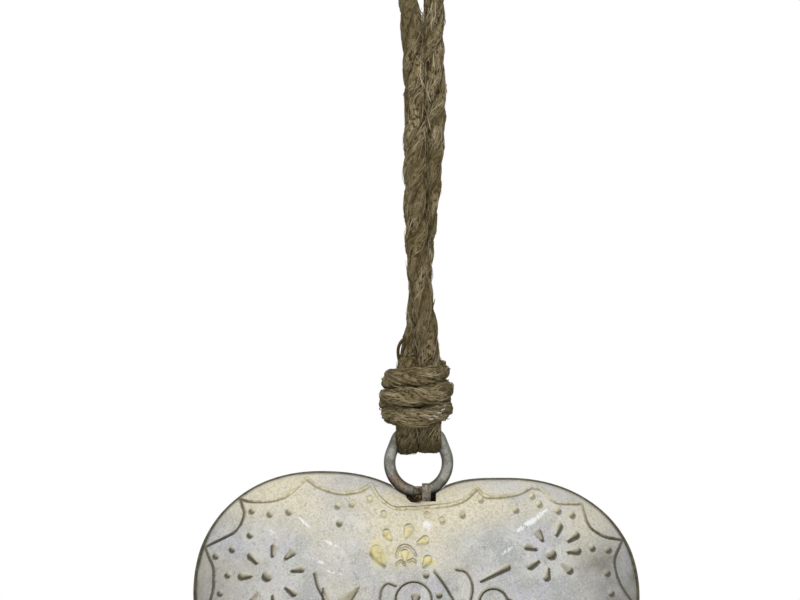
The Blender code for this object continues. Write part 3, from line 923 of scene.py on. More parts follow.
# Middle of each rusty spot, where it is full and where it ends, and its strength
RUST_SPOTS = ((-0.0058, -0.1955, 0.0010, 0.0056, 0.90), (0.0060, -0.1945, 0.0010, 0.0050, 0.22))
CUT_DEPTH = 0.06
CUT_TILTS = (-30, -15, 15, 30)
# Corners of the slot under the ring, seen from the front: x and height
SLOT = (
    (-0.0046, -0.1960), (-0.0041, -0.1980), (-0.0032, -0.1993), (-0.0022, -0.2002), (-0.0005, -0.2006),
    (0.0010, -0.2002), (0.0048, -0.1999), (0.0049, -0.1960),
)


def ring_route():
    """The ring's middle line, anticlockwise from the right side of its gap to the left."""
    corner = np.array([RING_TOP_HALF - RING_CORNER, BAR_HEIGHT - RING_CORNER])
    apart = corner - np.array([0, RING_CENTRE])
    lean = math.atan2(apart[1], apart[0]) - math.acos((RING_RADIUS - RING_CORNER) / np.hypot(*apart))
    lean = math.degrees(lean)
    parts = (
        (0, RING_CENTRE, RING_RADIUS, RING_GAP_ANGLES[1], lean),
        (corner[0], corner[1], RING_CORNER, lean, 90),
        (-corner[0], corner[1], RING_CORNER, 90, 180 - lean),
        (0, RING_CENTRE, RING_RADIUS, 180 - lean, 360 + RING_GAP_ANGLES[0]),
    )
    points = []
    for x, z, radius, start, end in parts:
        for angle in np.radians(np.linspace(start, end, 40)):
            points.append((x + radius * math.cos(angle), 0, z + radius * math.sin(angle)))
    return resample(points, 0.0004)


def add_ring():
    """The bent wire with rounded ends, rusty low on both sides, with painted light in front and behind and
    painted shade on its sides.
    """
    route = ring_route()
    radii = np.full(len(route), RING_WIRE / 2)
    radii[:3] *= WIRE_END
    radii[-3:] *= WIRE_END[::-1]
    wire = galvanised_wire()
    ring = add_tube("wire_ring", route, radii, RING_SIDES, wire, "ring", ("ring",))
    middle = np.repeat(route, RING_SIDES, axis=0)
    rust = np.full(len(middle), LEAST_RUST)
    for x, z, near, far, strength in RUST_SPOTS:
        apart = np.hypot(middle[:, 0] - x, middle[:, 2] - z)
        rust += strength * smooth_step(-apart, -far, -near)
    set_attribute(ring, "rust", rust)
    depth = np.array([abs(vert.co.y) for vert in ring.data.vertices])
    # Painted light on the wire's front and back faces, painted shade on its sides
    set_attribute(ring, "lit_faces", smooth_step(depth / (RING_WIRE / 2), 0.45, 1.0))


add_ring()

STRAP_AT = 0.0022
STRAP_WIDTH = 0.0025
STRAP_BORE = 0.00172
STRAP_METAL = 0.00034
# Depth and height of the front foot, from the middle of the ring's lower wire
STRAP_FOOT = ((-0.0125, -0.0150), (-0.0090, -0.0112), (-0.0042, -0.0070))
# Low and high corners of the brazing
BRAZE = (
    ("braze_left", (-0.0022, 0.00195, -0.2010), (0.0012, 0.00270, -0.1960)),
    ("braze_right", (0.0032, 0.00245, -0.2010), (0.0050, 0.00320, -0.1966)),
    ("braze_foot", (-0.0044, 0.00225, -0.2016), (0.0052, 0.00300, -0.1985)),
)


def strap_route():
    """The strap's middle line in its own plane, from the front foot over the wire to the back."""
    radius = STRAP_BORE + STRAP_METAL / 2
    front = [*STRAP_FOOT, (-radius, -0.0040), (-radius, -0.0020)]
    over = [(-radius * math.cos(angle), radius * math.sin(angle)) for angle in np.linspace(0, math.pi, 25)]
    route = [*front, *over, *[(-y, z) for y, z in reversed(front)]]
    return [(0, y, TILT_HEIGHT + z) for y, z in route]


def add_strap():
    """The narrow strap over the ring's wire, with its two feet inside the heart."""
    route = smooth_route(strap_route(), 3)
    tangents = unit(np.gradient(route, axis=0))
    normals = np.stack([np.zeros(len(route)), -tangents[:, 2], tangents[:, 1]], axis=1)
    wide, half, soft = STRAP_WIDTH / 2, STRAP_METAL / 2, STRAP_METAL * 0.3
    section = [(-wide, -half + soft), (-wide + soft, -half), (wide - soft, -half), (wide, -half + soft)]
    section = np.array(section + [(-u, -v) for u, v in section])
    points = route[:, None] + normals[:, None] * section[None, :, 1:]
    points[..., 0] += STRAP_AT + section[:, 0]
    faces = [face[::-1] for face in capped(len(route), len(section))]
    add_mesh("strap", points.reshape(-1, 3), faces, bare_iron(), "heart", ("hanger_strap",))


add_strap()


def add_braze():
    """Rough brazing behind the ring: it fills the slot round the strap's rear leg."""
    material = rusted_braze()
    for name, low, high in BRAZE:
        mesh = bmesh.new()
        bmesh.ops.create_cube(mesh, size=1)
        low, high = Vector(low), Vector(high)
        for vert in mesh.verts:
            vert.co = low + (high - low) * (vert.co + Vector((0.5, 0.5, 0.5)))
        bmesh.ops.subdivide_edges(mesh, edges=mesh.edges[:], cuts=5, use_grid_fill=True)
        rng = np.random.default_rng(len(name))
        centre = (low + high) / 2
        for vert in mesh.verts:
            away = vert.co - centre
            vert.co -= away * 0.10 * rng.uniform(0, 1) + Vector((0, 0, 0.0003 * rng.uniform(0, 1)))
        points = [tuple(vert.co) for vert in mesh.verts]
        faces = [[vert.index for vert in face.verts] for face in mesh.faces]
        mesh.free()
        add_mesh(name, points, faces, material, "heart")


add_braze()


# Heart outline

HEART_HEIGHT = 0.1041
LEFT_HALF = {"reach": 0.0629, "widest": 0.0264, "lobe": 0.0275, "rise": 0.0083}
RIGHT_HALF = {"reach": 0.0617, "widest": 0.0274, "lobe": 0.0250, "rise": 0.0064}
CLEFT_HANDLE = (0.0093, 0.0066)
LOBE_HANDLES = (0.0105, 0.0215)
SIDE_HANDLES = (0.0205, 0.0240)
TIP_HANDLE = (0.0200, 0.0200)
CROWN_BELOW_CLEFT = 0.0310
SHELL_DEPTH = 0.0185
RIM_LIP = 0.0008
SHELL_WALL = 0.0008
SHELL_CROWN = 2.2
OUTLINE_POINTS = 400
EDGE_INSET = 0.00075
# Mean distance from the crown to the edge, and the one that spaces the dish's points
MEAN_REACH = 0.055
CROWN_REACH = 0.050


def half_outline(half, side):
    """Evenly spaced edge points of one half, from the cleft to the tip, in the XZ plane."""

    def step(outwards, up):
        return Vector((side * outwards, up, 0))

    cleft = Vector((0, CLEFT_HEIGHT, 0))
    lobe = cleft + step(half["lobe"], half["rise"])
    widest = cleft + step(half["reach"], -half["widest"])
    tip = cleft - step(0, HEART_HEIGHT)
    curves = (
        (cleft, step(*CLEFT_HANDLE), step(-LOBE_HANDLES[0], 0), lobe),
        (lobe, step(LOBE_HANDLES[1], 0), step(0, SIDE_HANDLES[0]), widest),
        (widest, step(0, -SIDE_HANDLES[1]), step(*TIP_HANDLE), tip),
    )
    points = []
    for start, leaving, coming, end in curves:
        points += interpolate_bezier(start, start + leaving, end + coming, end, 60)[:-1]
    points.append(tip)
    edge = resample(points, along(np.array(points))[-1] / OUTLINE_POINTS)[:, :2]
    way = unit(np.gradient(edge, axis=0))
    edge = edge + EDGE_INSET * side * np.stack([way[:, 1], -way[:, 0]], 1)
    edge[:, 0] = side * np.maximum(0, side * edge[:, 0])
    edge[0] = (0, cleft.y - EDGE_INSET)
    return edge


RIGHT_EDGE = half_outline(RIGHT_HALF, 1)
LEFT_EDGE = half_outline(LEFT_HALF, -1)


def edge_at(angle):
    """Points of the outline at angles: the cleft is at 90 degrees and the tip at 270."""
    share = np.mod(angle - math.pi / 2, TURN) / math.pi
    steps = np.linspace(0, 1, len(LEFT_EDGE))
    on_left = np.stack([np.interp(share, steps, LEFT_EDGE[:, i]) for i in range(2)], -1)
    on_right = np.stack([np.interp(2 - share, steps, RIGHT_EDGE[:, i]) for i in range(2)], -1)
    return np.where((share <= 1)[..., None], on_left, on_right)


def shell_height(share):
    """Height of the dished face over the heart's edge, by the share of the way to the edge."""
    return RIM_LIP + (SHELL_DEPTH - RIM_LIP) * np.sqrt(np.maximum(0, 1 - share**SHELL_CROWN))


# Embossed pattern, in millimetres from the cleft

TOP_SCALLOPS = (
    ((-59.8, -13.3), (-57.5, -18.3), (-57.2, -22.0), (-57.6, -26.0), (-59.0, -30.0), (-61.4, -34.0)),
    ((-59.8, -13.3), (-54.2, -10.5), (-50.5, -8.2), (-48.6, -4.3), (-49.1, -1.8), (-50.2, 0.4)),
    ((-50.0, 0.2), (-47.2, -0.4), (-41.6, -0.4), (-37.4, 0.7), (-34.6, 2.7), (-31.2, 6.0)),
    ((-31.2, 6.0), (-27.6, 3.5), (-22.0, 1.8), (-16.4, 2.4), (-13.3, 4.1)),
    (
        (-13.3, 4.1), (-11.1, 0.7), (-6.9, -2.4), (-1.0, -2.4), (6.3, -1.8), (10.8, -1.0), (13.6, 0.4),
        (16.4, 3.2),
    ),
    ((16.4, 3.2), (18.6, 1.0), (23.4, 1.0), (28.1, 1.8), (31.5, 3.5)),
    ((31.5, 3.5), (34.3, 2.7), (37.1, -0.1), (39.6, -1.0), (45.5, -1.0)),
    ((45.5, -1.0), (46.3, -3.8), (47.7, -7.4), (50.0, -9.4), (52.5, -10.5), (57.0, -11.3)),
    ((57.0, -11.3), (54.9, -15.8), (55.0, -19.4), (56.1, -23.1), (58.1, -26.4), (60.9, -30.0)),
)
TOP_DOTS = (
    (-46.3, -2.9), (-41.3, -3.8), (-36.0, -3.2), (-46.9, -9.6), (-51.9, -13.6), (-56.4, -15.5),
    (-53.1, -20.8), (-55.3, -25.9), (-22.5, -1.5), (-18.6, -1.0), (-9.7, -4.0), (-22.0, -6.3),
    (-13.6, 0.2), (2.4, -4.3), (6.6, -5.7), (12.2, -4.0), (17.2, 0.4), (27.0, -2.6), (31.5, 1.3),
    (33.5, -1.0), (38.8, -2.9), (42.7, -4.0), (48.3, -13.3), (52.8, -13.8), (52.5, -20.3),
    (53.6, -25.9), (2.1, -20.8), (5.7, -26.4),
)
LEFT_FLOWER = (-42.1, -21.1)
LEFT_PETALS = (
    (-48.3, -21.1), (-46.1, -16.1), (-40.2, -13.8), (-35.7, -15.0),
    (-33.5, -19.2), (-35.4, -25.3), (-39.9, -28.1), (-45.5, -27.3),
)
RIGHT_FLOWER = (36.8, -15.0)
RIGHT_PETALS = (
    (33.5, -9.6), (38.8, -8.0), (43.0, -10.2), (43.3, -14.1),
    (41.3, -18.9), (35.7, -20.6), (31.8, -17.8), (30.9, -13.0),
)
LOWER_FLOWER = (0.0, -62.0)
MEDALLION = (-1.4, -27.8)
SMALL_RING = (20.8, -28.6)
# Petal length and width, height, and the radius and height of the dot in the middle
TOP_FLOWER = (3.4, 1.15, 0.62, (1.55, 0.75))
UPPER_DOT = (0.95, 0.50)
LOWER_DOT = (0.90, 0.45)
LOWER_DOTS = ((0, -48.0), (-4.5, -49.5), (4.5, -49.5), (0, -75.0), (-16.0, -64.0), (16.0, -64.0))
LOWER_ARCS = 6
# Middle that the lower scallops bow towards, and edge points to pass before the edge only falls
LOWER_MIDDLE = (-1.4, -39.8)
PAST_LOBE = 80
# Hoods, stems and scrolls: points, half width and height
SCROLLS = (
    (((-10.9, -28.5), (-10.4, -25.2), (-8.8, -23.3), (-6.4, -24.0)), 0.36, 0.36),
    (((-10.9, -28.5), (-11.6, -34.0), (-8.4, -39.5), (-1.2, -43.5)), 0.40, 0.38),
    (((-6.3, -15.8), (-5.4, -13.7), (-4.0, -12.9), (-2.2, -13.6), (-0.8, -15.6)), 0.40, 0.40),
    (((-6.2, -18.2), (-5.0, -17.3), (-3.8, -18.4)), 0.36, 0.32),
    (((-2.9, -17.4), (-1.6, -16.9), (-0.9, -17.5)), 0.36, 0.32),
    (
        ((4.4, -20.0), (6.6, -22.8), (8.5, -25.9), (9.9, -29.0), (9.6, -34.0), (6.0, -39.5), (-1.2, -43.5)),
        0.40, 0.38,
    ),
    (
        (
            (-29.0, -20.6), (-28.2, -24.0), (-26.6, -27.0), (-24.4, -30.0), (-22.6, -34.0), (-24.0, -38.5),
            (-28.5, -40.0), (-32.0, -37.2), (-31.4, -33.2), (-28.4, -32.4),
        ),
        0.42, 0.40,
    ),
    (
        (
            (10.5, -19.4), (13.0, -20.0), (14.6, -22.4), (15.0, -25.3), (14.4, -29.0), (15.4, -34.0),
            (19.4, -38.0), (25.0, -38.4), (28.8, -35.0), (28.6, -30.2), (25.0, -27.6),
        ),
        0.40, 0.38,
    ),
)
# Two ends, the radius at each, and the height
DROPS = (
    (-3.6, -10.6, -2.8, -8.3, 0.4, 1.5, 0.55), (-7.6, -11.2, -8.9, -9.4, 0.4, 1.3, 0.55),
    (-0.2, -12.2, 1.9, -11.4, 0.5, 1.3, 0.55), (-9.4, -18.4, -11.8, -14.6, 0.4, 2.0, 0.55),
    (-3.9, -17.0, -3.9, -15.0, 0.5, 1.2, 0.55), (1.4, -18.6, 2.6, -16.8, 0.4, 1.3, 0.55),
    (-1.0, -28.6, -0.8, -26.8, 0.5, 1.4, 0.55), (-16.8, -24.3, -21.0, -28.6, 0.4, 1.8, 0.55),
    (17.2, -22.6, 24.6, -18.6, 0.3, 1.0, 0.55), (-26.4, -24.5, -25.4, -28.6, 0.4, 1.5, 0.50),
    (0, -82.5, 0, -79.0, 0.3, 1.1, 0.50),
)
# Two ends and the outer radius of the drops that stand on both sides
PAIRED_DROPS = (
    (1.6, -77.0, 5.2, -74.2, 1.1), (14.0, -44.5, 19.0, -44.0, 1.1), (11.5, -52.0, 9.0, -48.6, 1.0),
    (41.0, -42.0, 38.0, -39.0, 1.1), (38.0, -46.0, 34.0, -45.0, 1.1),
)


def petal(place, flower, length, width):
    """A drop that points at its flower: inner end, outer end, and their two radii."""
    place = np.array(place)
    way = place - np.array(flower)
    way = way / np.linalg.norm(way)
    return (*(place - way * length * 0.50), *(place + way * length * 0.25), 0.45, width)


def ring_of(middle, radius, count, turn=0.0):
    """Places evenly round a middle."""
    x, z = middle
    angles = [turn + TURN * i / count for i in range(count)]
    return [(x + radius * math.cos(angle), z + radius * math.sin(angle)) for angle in angles]


def lower_scallops(edge, start_height):
    """Arcs from the widest part down to the tip, each with three dots inside it."""
    edge = edge / MM - np.array([0, CLEFT_HEIGHT / MM])
    reach = along(edge)
    start = np.interp(-start_height, -edge[PAST_LOBE:, 1], reach[PAST_LOBE:])

    def inside(shares, depths):
        """Places at depths inside the edge."""
        spots = np.stack([np.interp(low + (high - low) * shares, reach, edge[:, k]) for k in range(2)], 1)
        inward = np.array(LOWER_MIDDLE) - spots
        inward /= np.linalg.norm(inward, axis=1)[:, None]
        return [tuple(spot) for spot in spots + inward * depths[:, None]]

    arcs, dots = [], []
    shares = np.linspace(0, 1, 7)
    for i in range(LOWER_ARCS):
        low, high = (start + (reach[-1] - start) * (i + k) / LOWER_ARCS for k in (0, 1))
        arcs.append(inside(shares, 0.6 + 4.4 * np.sin(math.pi * shares) ** 0.8))
        dots += inside(np.array([0.22, 0.5, 0.78]), np.array([6.4, 8.0, 6.4]))
    return arcs, dots


def pattern():
    """All the embossing: lines (points, half width, height), drops and dots."""
    lines = list(SCROLLS)
    drops = list(DROPS)
    dots = [(*SMALL_RING, 1.1, 0.5)]
    dots += [(x, z, *UPPER_DOT) for x, z in TOP_DOTS] + [(x, z, *LOWER_DOT) for x, z in LOWER_DOTS]
    for points in TOP_SCALLOPS:
        outer = max(abs(points[0][0]), abs(points[-1][0])) > 42
        lines.append((points, 0.38 if outer else 0.50, 0.38))
    flowers = [
        (LEFT_FLOWER, LEFT_PETALS, *TOP_FLOWER),
        (RIGHT_FLOWER, RIGHT_PETALS, *TOP_FLOWER),
        (LOWER_FLOWER, ring_of(LOWER_FLOWER, 7.2, 8, 0.2), 4.2, 1.2, 0.62, (1.7, 0.75)),
    ]
    for side, edge, height in ((-1, LEFT_EDGE, -34.0), (1, RIGHT_EDGE, -30.0)):
        arcs, spots = lower_scallops(edge, height)
        lines += [(points, 0.31, 0.36) for points in arcs]
        dots += [(x, z, *UPPER_DOT) for x, z in spots[:-2]]
        drops += [(side * ax, az, side * bx, bz, 0.3, end, 0.5) for ax, az, bx, bz, end in PAIRED_DROPS]
        middle = (side * 22.0, -54.0)
        flowers.append((middle, ring_of(middle, 4.8, 6, 0.3 * side), 3.2, 0.95, 0.55, (1.3, 0.6)))
    for flower, petals, length, width, top, bud in flowers:
        drops += [(*petal(place, flower, length, width), top) for place in petals]
        dots.append((*flower, *bud))
    for middle, radius, count, half in ((MEDALLION, 5.0, 32, 0.36), (SMALL_RING, 3.9, 24, 0.42)):
        around = ring_of(middle, radius, count)
        lines.append(([*around, around[0]], half, 0.42))
    return lines, drops, dots


def strokes(lines, drops, dots):
    """Every line, drop and dot as short strokes: two ends, the radius at each, and the height."""
    for points, half, top in lines:
        route = smooth_route([(x, 0, z) for x, z in points], 5)[:, (0, 2)]
        for start, end in zip(route, route[1:]):
            yield *start, *end, half, half, top
    yield from drops
    for x, z, radius, top in dots:
        yield x, z, x, z, radius, radius, top


def to_stroke(x, z, ax, az, bx, bz):
    """Distance from places to a straight stroke, and how far along it each is nearest."""
    square = max((bx - ax) ** 2 + (bz - az) ** 2, 1e-9)
    t = np.clip(((x - ax) * (bx - ax) + (z - az) * (bz - az)) / square, 0, 1)
    return np.hypot(x - ax - t * (bx - ax), z - az - t * (bz - az)), t


def relief(x, z, shapes):
    """Height of the embossing in millimetres at places in millimetres from the cleft."""
    height = np.zeros_like(x)
    for ax, az, bx, bz, start, end, top in strokes(*shapes):
        near = (x > min(ax, bx) - end) & (x < max(ax, bx) + end)
        near &= (z > min(az, bz) - end) & (z < max(az, bz) + end)
        if near.any():
            apart, t = to_stroke(x[near], z[near], ax, az, bx, bz)
            share = np.minimum(apart / (start + (end - start) * t**0.8), 1)
            dome = top * np.clip(1 - share**2, 0, 1) ** 0.8
            height[near] = np.maximum(height[near], dome)
    return height


# White strokes on the paint, partly scuffs and partly painted highlights: two ends and the radius
SCUFFS_AND_GLINTS = (
    (-33.5, -4.9, -29.9, -8.3, 0.42), (-26.6, -11.2, -21.8, -13.7, 0.45), (-30.4, -16.2, -26.0, -18.0, 0.55),
    (-41.2, -8.6, -40.0, -10.6, 0.55), (27.8, -8.7, 35.8, -3.0, 0.85), (23.4, -15.3, 26.2, -13.3, 0.45),
    (-26.2, -19.8, -21.4, -20.9, 0.30), (-20.2, -17.2, -19.2, -18.0, 0.55), (1.4, -6.0, 3.2, -8.4, 1.2),
)
# A broad painted sheen: two ends and the radius
SHEEN = ((1.0, -6.6, 2.4, -9.4, 1.7), (-19.0, -13.0, -24.0, -16.0, 1.6), (-22.0, -5.0, -14.0, -7.5, 1.6))
GOLD_SPOTS = (
    (-12.2, -12.9, -11.0, -16.8, 1.9), (1.6, -17.0, 4.2, -17.6, 1.2), (-9.6, -9.5, -8.2, -10.4, 0.8),
    (-3.4, -9.8, -3.0, -8.8, 0.7), (0.8, -11.7, 2.2, -11.3, 0.7), (-4.8, -15.2, -3.0, -15.7, 1.0),
)


def near_shapes(x, z, shapes, taper=0.0):
    """How close places are to a list of short strokes, from 0 to 1. Taper thins their ends."""
    value = np.zeros_like(x)
    for ax, az, bx, bz, radius in shapes:
        apart, t = to_stroke(x, z, ax, az, bx, bz)
        value = np.maximum(value, np.clip(1.6 - apart / (radius * (1 - taper * np.abs(2 * t - 1))), 0, 1))
    return value


# Shells

FRONT_GRID = 504
BACK_GRID = 360
INNER_GRID = 72
# Painted shade on the inner face of each shell
INNER_SHADE = 0.6
# Name, low and high end of each part
FRONT_PARTS = (("top", -0.2225, 0), ("middle", -0.2460, -0.2225), ("foot", -1, -0.2460))
BACK_PARTS = (("top", -0.2370, 0), ("foot", -1, -0.2370))


def square_disc(cells):
    """Ring share and angle of each point of a square grid that is bent to a disc."""
    line = np.linspace(-1, 1, cells + 1)
    a, b = np.meshgrid(line, line, indexing="ij")
    size = np.maximum(np.abs(a), np.abs(b))
    safe = np.where(size == 0, 1, size)
    wide = np.abs(a) >= np.abs(b)
    angle = np.where(
        wide,
        math.pi / 4 * b / np.where(a == 0, safe, a) + np.where(a < 0, math.pi, 0),
        math.pi / 2 - math.pi / 4 * a / np.where(b == 0, safe, b) + np.where(b < 0, math.pi, 0),
    )
    return size, angle


def spaced_share(size):
    """Share of the way to the rim, so that steps along the dished profile are even."""
    share = np.sin(np.linspace(0, math.pi / 2, 600))
    reach = along(np.stack([share * CROWN_REACH, shell_height(share)], axis=1))
    return np.interp(size, reach / reach[-1], share)


def grid_faces(cells):
    """Faces of a square grid of points."""
    i, j = np.meshgrid(np.arange(cells), np.arange(cells), indexing="ij")
    corner = i * (cells + 1) + j
    ahead = corner + cells + 1
    return np.stack([corner, ahead, ahead + 1, corner + 1], -1).reshape(-1, 4)


def rim_indices(cells):
    """Grid points round the edge of the square, in order."""
    row = cells + 1
    side = np.arange(cells)
    return np.concatenate([side * row, cells * row + side, (cells - side) * row + cells, cells - side])


def dish(cells, shrink, sink):
    """Places on the dished surface of the front shell, over the grid."""
    size, angle = square_disc(cells)
    share = spaced_share(size)
    crown = np.array([0, CLEFT_HEIGHT - CROWN_BELOW_CLEFT])
    flat = crown + (share * shrink)[..., None] * (edge_at(angle) - crown)
    lift = np.maximum(shell_height(share) - sink * np.clip((1 - share) * 12, 0, 1), 0.0)
    lift = np.where(size > 0.9999, -RIM_IN_SEAM, lift)
    return np.stack([flat[..., 0], -(RIM_Y + lift), flat[..., 1]], -1).reshape(-1, 3), share.ravel()


def surface_normals(points, cells):
    """Directions square to the dished surface, at each point of its grid."""
    grid = points.reshape(cells + 1, cells + 1, 3)
    normal = np.cross(np.gradient(grid, axis=0), np.gradient(grid, axis=1))
    return unit(normal.reshape(-1, 3))


def soft_noise(x, z, seed, size, count=24):
    """A smooth random surface made of waves about size millimetres long."""
    rng = np.random.default_rng(seed)
    value = np.zeros_like(x)
    for _ in range(count):
        way = rng.uniform(0, TURN)
        step = TURN / (size * rng.uniform(0.7, 1.8))
        value += np.sin(x * math.cos(way) * step + z * math.sin(way) * step + rng.uniform(0, TURN))
    return value / math.sqrt(count)


def as_seen(points):
    """Places in the pattern's own plane, where the camera sees the points of the dished face."""
    nearer = CAMERA_DISTANCE / (CAMERA_DISTANCE + points[:, 1])
    x = PHOTO_MIDDLE[0] + (points[:, 0] - PHOTO_MIDDLE[0]) * nearer
    z = PHOTO_MIDDLE[1] + (points[:, 2] - PHOTO_MIDDLE[1]) * nearer
    return x / MM, (z - CLEFT_HEIGHT) / MM


def ramp(value, low, high):
    """From 0 at low to 1 at high, in a straight line."""
    return np.clip((value - low) / (high - low), 0, 1)


def paint_numbers(x, z, lumps, lines, bumps, beads):
    """What the paint needs at each place, from 0 to 1: bare metal, gold, painted shade, painted highlight and
    wear.
    """
    height = np.maximum(bumps, beads)
    feature = ramp(height, 0, 0.14)
    plump = ramp(bumps - height, -0.06, -0.01) * (bumps > 0)
    aside = np.clip((x + 3) / 36, -1, 1)
    centre = np.exp(-((x + 3) ** 2) / 120) * ramp(z, -22, -17)
    inside = np.clip(centre * 1.4, 0, 1)
    top = ramp(z, -9, 0) * ramp(-np.abs(x), -50, -44)
    # Gilt in the middle, and near the top, where the gold on the ridges is partly gilding and partly painted
    # light from above
    gilt = np.clip(centre + top * 0.95 + 0.10 * soft_noise(x, z, 8, 7), 0, 1)

    # Painted shade on the embossing's low, outer sides, and round the middle on its upper sides
    rise = (bumps - relief(x - 0.14 * aside, z + 0.16, lumps)) / 0.21
    upper = ramp(relief(x - 0.46 * aside, z + 0.54, lumps), 0, 0.36)
    crescent = ramp(upper - ramp(bumps, 0, 0.36), 0.08, 0.34)
    low_side = np.minimum(ramp(-rise, 0.05, 0.65), 0.75) * (bumps > 0.02)
    line_rise = beads - relief(x - 0.20 * aside, z + 0.22, lines)
    under = np.maximum(np.maximum(crescent, low_side), ramp(-line_rise, 0.03, 0.13))
    hang = (bumps - relief(x + 0.04, z - 0.20, lumps)) / 0.20
    line_hang = beads - relief(x, z - 0.30, lines)
    over = np.maximum(ramp(-hang, 0.30, 0.65), ramp(-line_hang, 0.04, 0.14))
    shade = np.maximum(under * (1 - 0.9 * inside) * (1 - 0.45 * top), over * inside * 0.85)
    # A darker patch near the right edge, then painted shade towards the lower sides and the right side
    dark_patch = 0.45 * np.exp(-((x - 49) ** 2 + (z + 18) ** 2) / 26)
    dark_patch += 0.25 * np.exp(-((x - 56) ** 2 / 30 + (z + 24) ** 2 / 200))
    sides = 0.48 * smooth_step(np.abs(x + 1), 42, 60) * smooth_step(-z, 6, 24) + 0.10 * smooth_step(x, 36, 52)

    # The paint is worn off the embossing. The upper sides of drops and dots keep more paint as a painted
    # highlight, and drops, dots and the middle ridges get a pale painted highlight on their upper sides
    worn = np.where(plump > 0, 0.9, 0.9 + gilt * np.clip(0.25 * soft_noise(x, z, 11, 3.0) - 0.25, -0.7, 0.0))
    pale_top = (1 - crescent) * np.clip(0.5 + rise, 0, 1) * (plump > 0) * (1 - gilt)
    lit = 0.6 * ramp(line_rise, 0.05, 0.15) * ramp(-np.abs(x), -44, -36)
    lit = np.maximum(ramp(rise, 0.10, 0.45) * plump, lit)
    # A dark outline round the embossing, weaker on the lower sides of drops and dots: partly outline colour,
    # partly painted shade on the upper sides
    rim = np.exp(-(((height - 0.12) / 0.08) ** 2)) * (height > 0.01)
    return {
        "bare": np.clip(feature * worn * (1 - 0.75 * pale_top), 0, 1),
        "gilt": gilt,
        "yellow": near_shapes(x, z, GOLD_SPOTS, 0.2) * np.clip(0.8 + 0.4 * soft_noise(x, z, 12, 1.6), 0, 1),
        "plump": plump,
        "line": rim * np.where(hang < 0.1, 1, 0.3),
        "lit": lit * (1 - 0.3 * gilt),
        "shade": shade,
        # Warmer, brighter paint near the top and in the middle: the paint's cream tone, and near the top also
        # painted light from above
        "warm": np.clip(0.20 + 0.75 * ramp(z, -12, 2) + 0.8 * centre + 0.25 * soft_noise(x, z, 9, 22), 0, 1),
        "side_shade": dark_patch + sides,
        # White streaks on the paint, partly scuffs and partly painted highlights, with a fainter painted
        # sheen
        "scuff_and_sheen": np.maximum(near_shapes(x, z, SCUFFS_AND_GLINTS, 0.6), 0.25 * near_shapes(x, z, SHEEN)) * (1 - feature),
    }


def front_surface(cells):
    """The outer face of the front shell with its embossing, and what its paint needs."""
    points, share = dish(cells, 1.0, 0.0)
    normals = surface_normals(points, cells)
    if normals[len(normals) // 2][1] > 0:
        normals = -normals
    x, z = as_seen(points)
    lines, drops, dots = pattern()
    lumps = ((), drops, dots)
    lines = (lines, (), ())
    bumps = relief(x, z, lumps)
    beads = relief(x, z, lines)
    fade = ramp(1 - share, 0, 0.04)
    wave = 0.14 * soft_noise(x, z, 5, 13) + 0.05 * soft_noise(x, z, 6, 4.5)
    points = points + normals * ((np.maximum(bumps, beads) + wave) * fade * MM)[:, None]
    numbers = paint_numbers(x, z, lumps, lines, bumps, beads)
    numbers["shade"] *= fade
    # Painted shade along the rim, where the dish turns away
    numbers["side_shade"] = np.clip(numbers["side_shade"] + 0.7 * smooth_step(share, 0.988, 0.9995), 0, 1)
    return points, numbers


def cutter():
    """Guide for the notch at the cleft: room for the ring at every tilt, and the slot for the strap."""
    wire = RING_WIRE / 2 + RING_CLEARANCE
    upright = math.pi / 2
    bpy.ops.mesh.primitive_cylinder_add(
        vertices=96, radius=RING_RADIUS + wire, depth=CUT_DEPTH,
        location=(0, 0, RING_CENTRE), rotation=(upright, 0, 0),
    )
    whole = bpy.context.object
    ends = [(x, y, z) for y in (-CUT_DEPTH / 2, CUT_DEPTH / 2) for x, z in SLOT]
    faces = [face[::-1] for face in capped(2, len(SLOT))]
    tools = [add_mesh("slot_tool", ends, faces, bare_iron(), None, (), False)]
    apart = RING_CENTRE - TILT_HEIGHT
    for tilt in np.radians(CUT_TILTS).tolist():
        bpy.ops.mesh.primitive_torus_add(
            major_segments=96, minor_segments=24, major_radius=RING_RADIUS, minor_radius=wire,
            location=(0, -apart * math.sin(tilt), TILT_HEIGHT + apart * math.cos(tilt)),
            rotation=(upright + tilt, 0, 0),
        )
        tools.append(bpy.context.object)
    combine(whole, tools, "UNION")
    for tool in tools:
        bpy.data.objects.remove(tool)
    return whole


def combine(piece, tools, how="DIFFERENCE"):
    """Cut the tools out of the piece, or join them to it, and keep the result as its mesh."""
    for tool in tools:
        change = piece.modifiers.new("combine", "BOOLEAN")
        change.operation = how
        change.solver = "MANIFOLD"
        change.object = tool
    bpy.context.view_layer.update()
    result = bpy.data.meshes.new_from_object(piece.evaluated_get(bpy.context.evaluated_depsgraph_get()))
    piece.modifiers.clear()
    piece.data = result


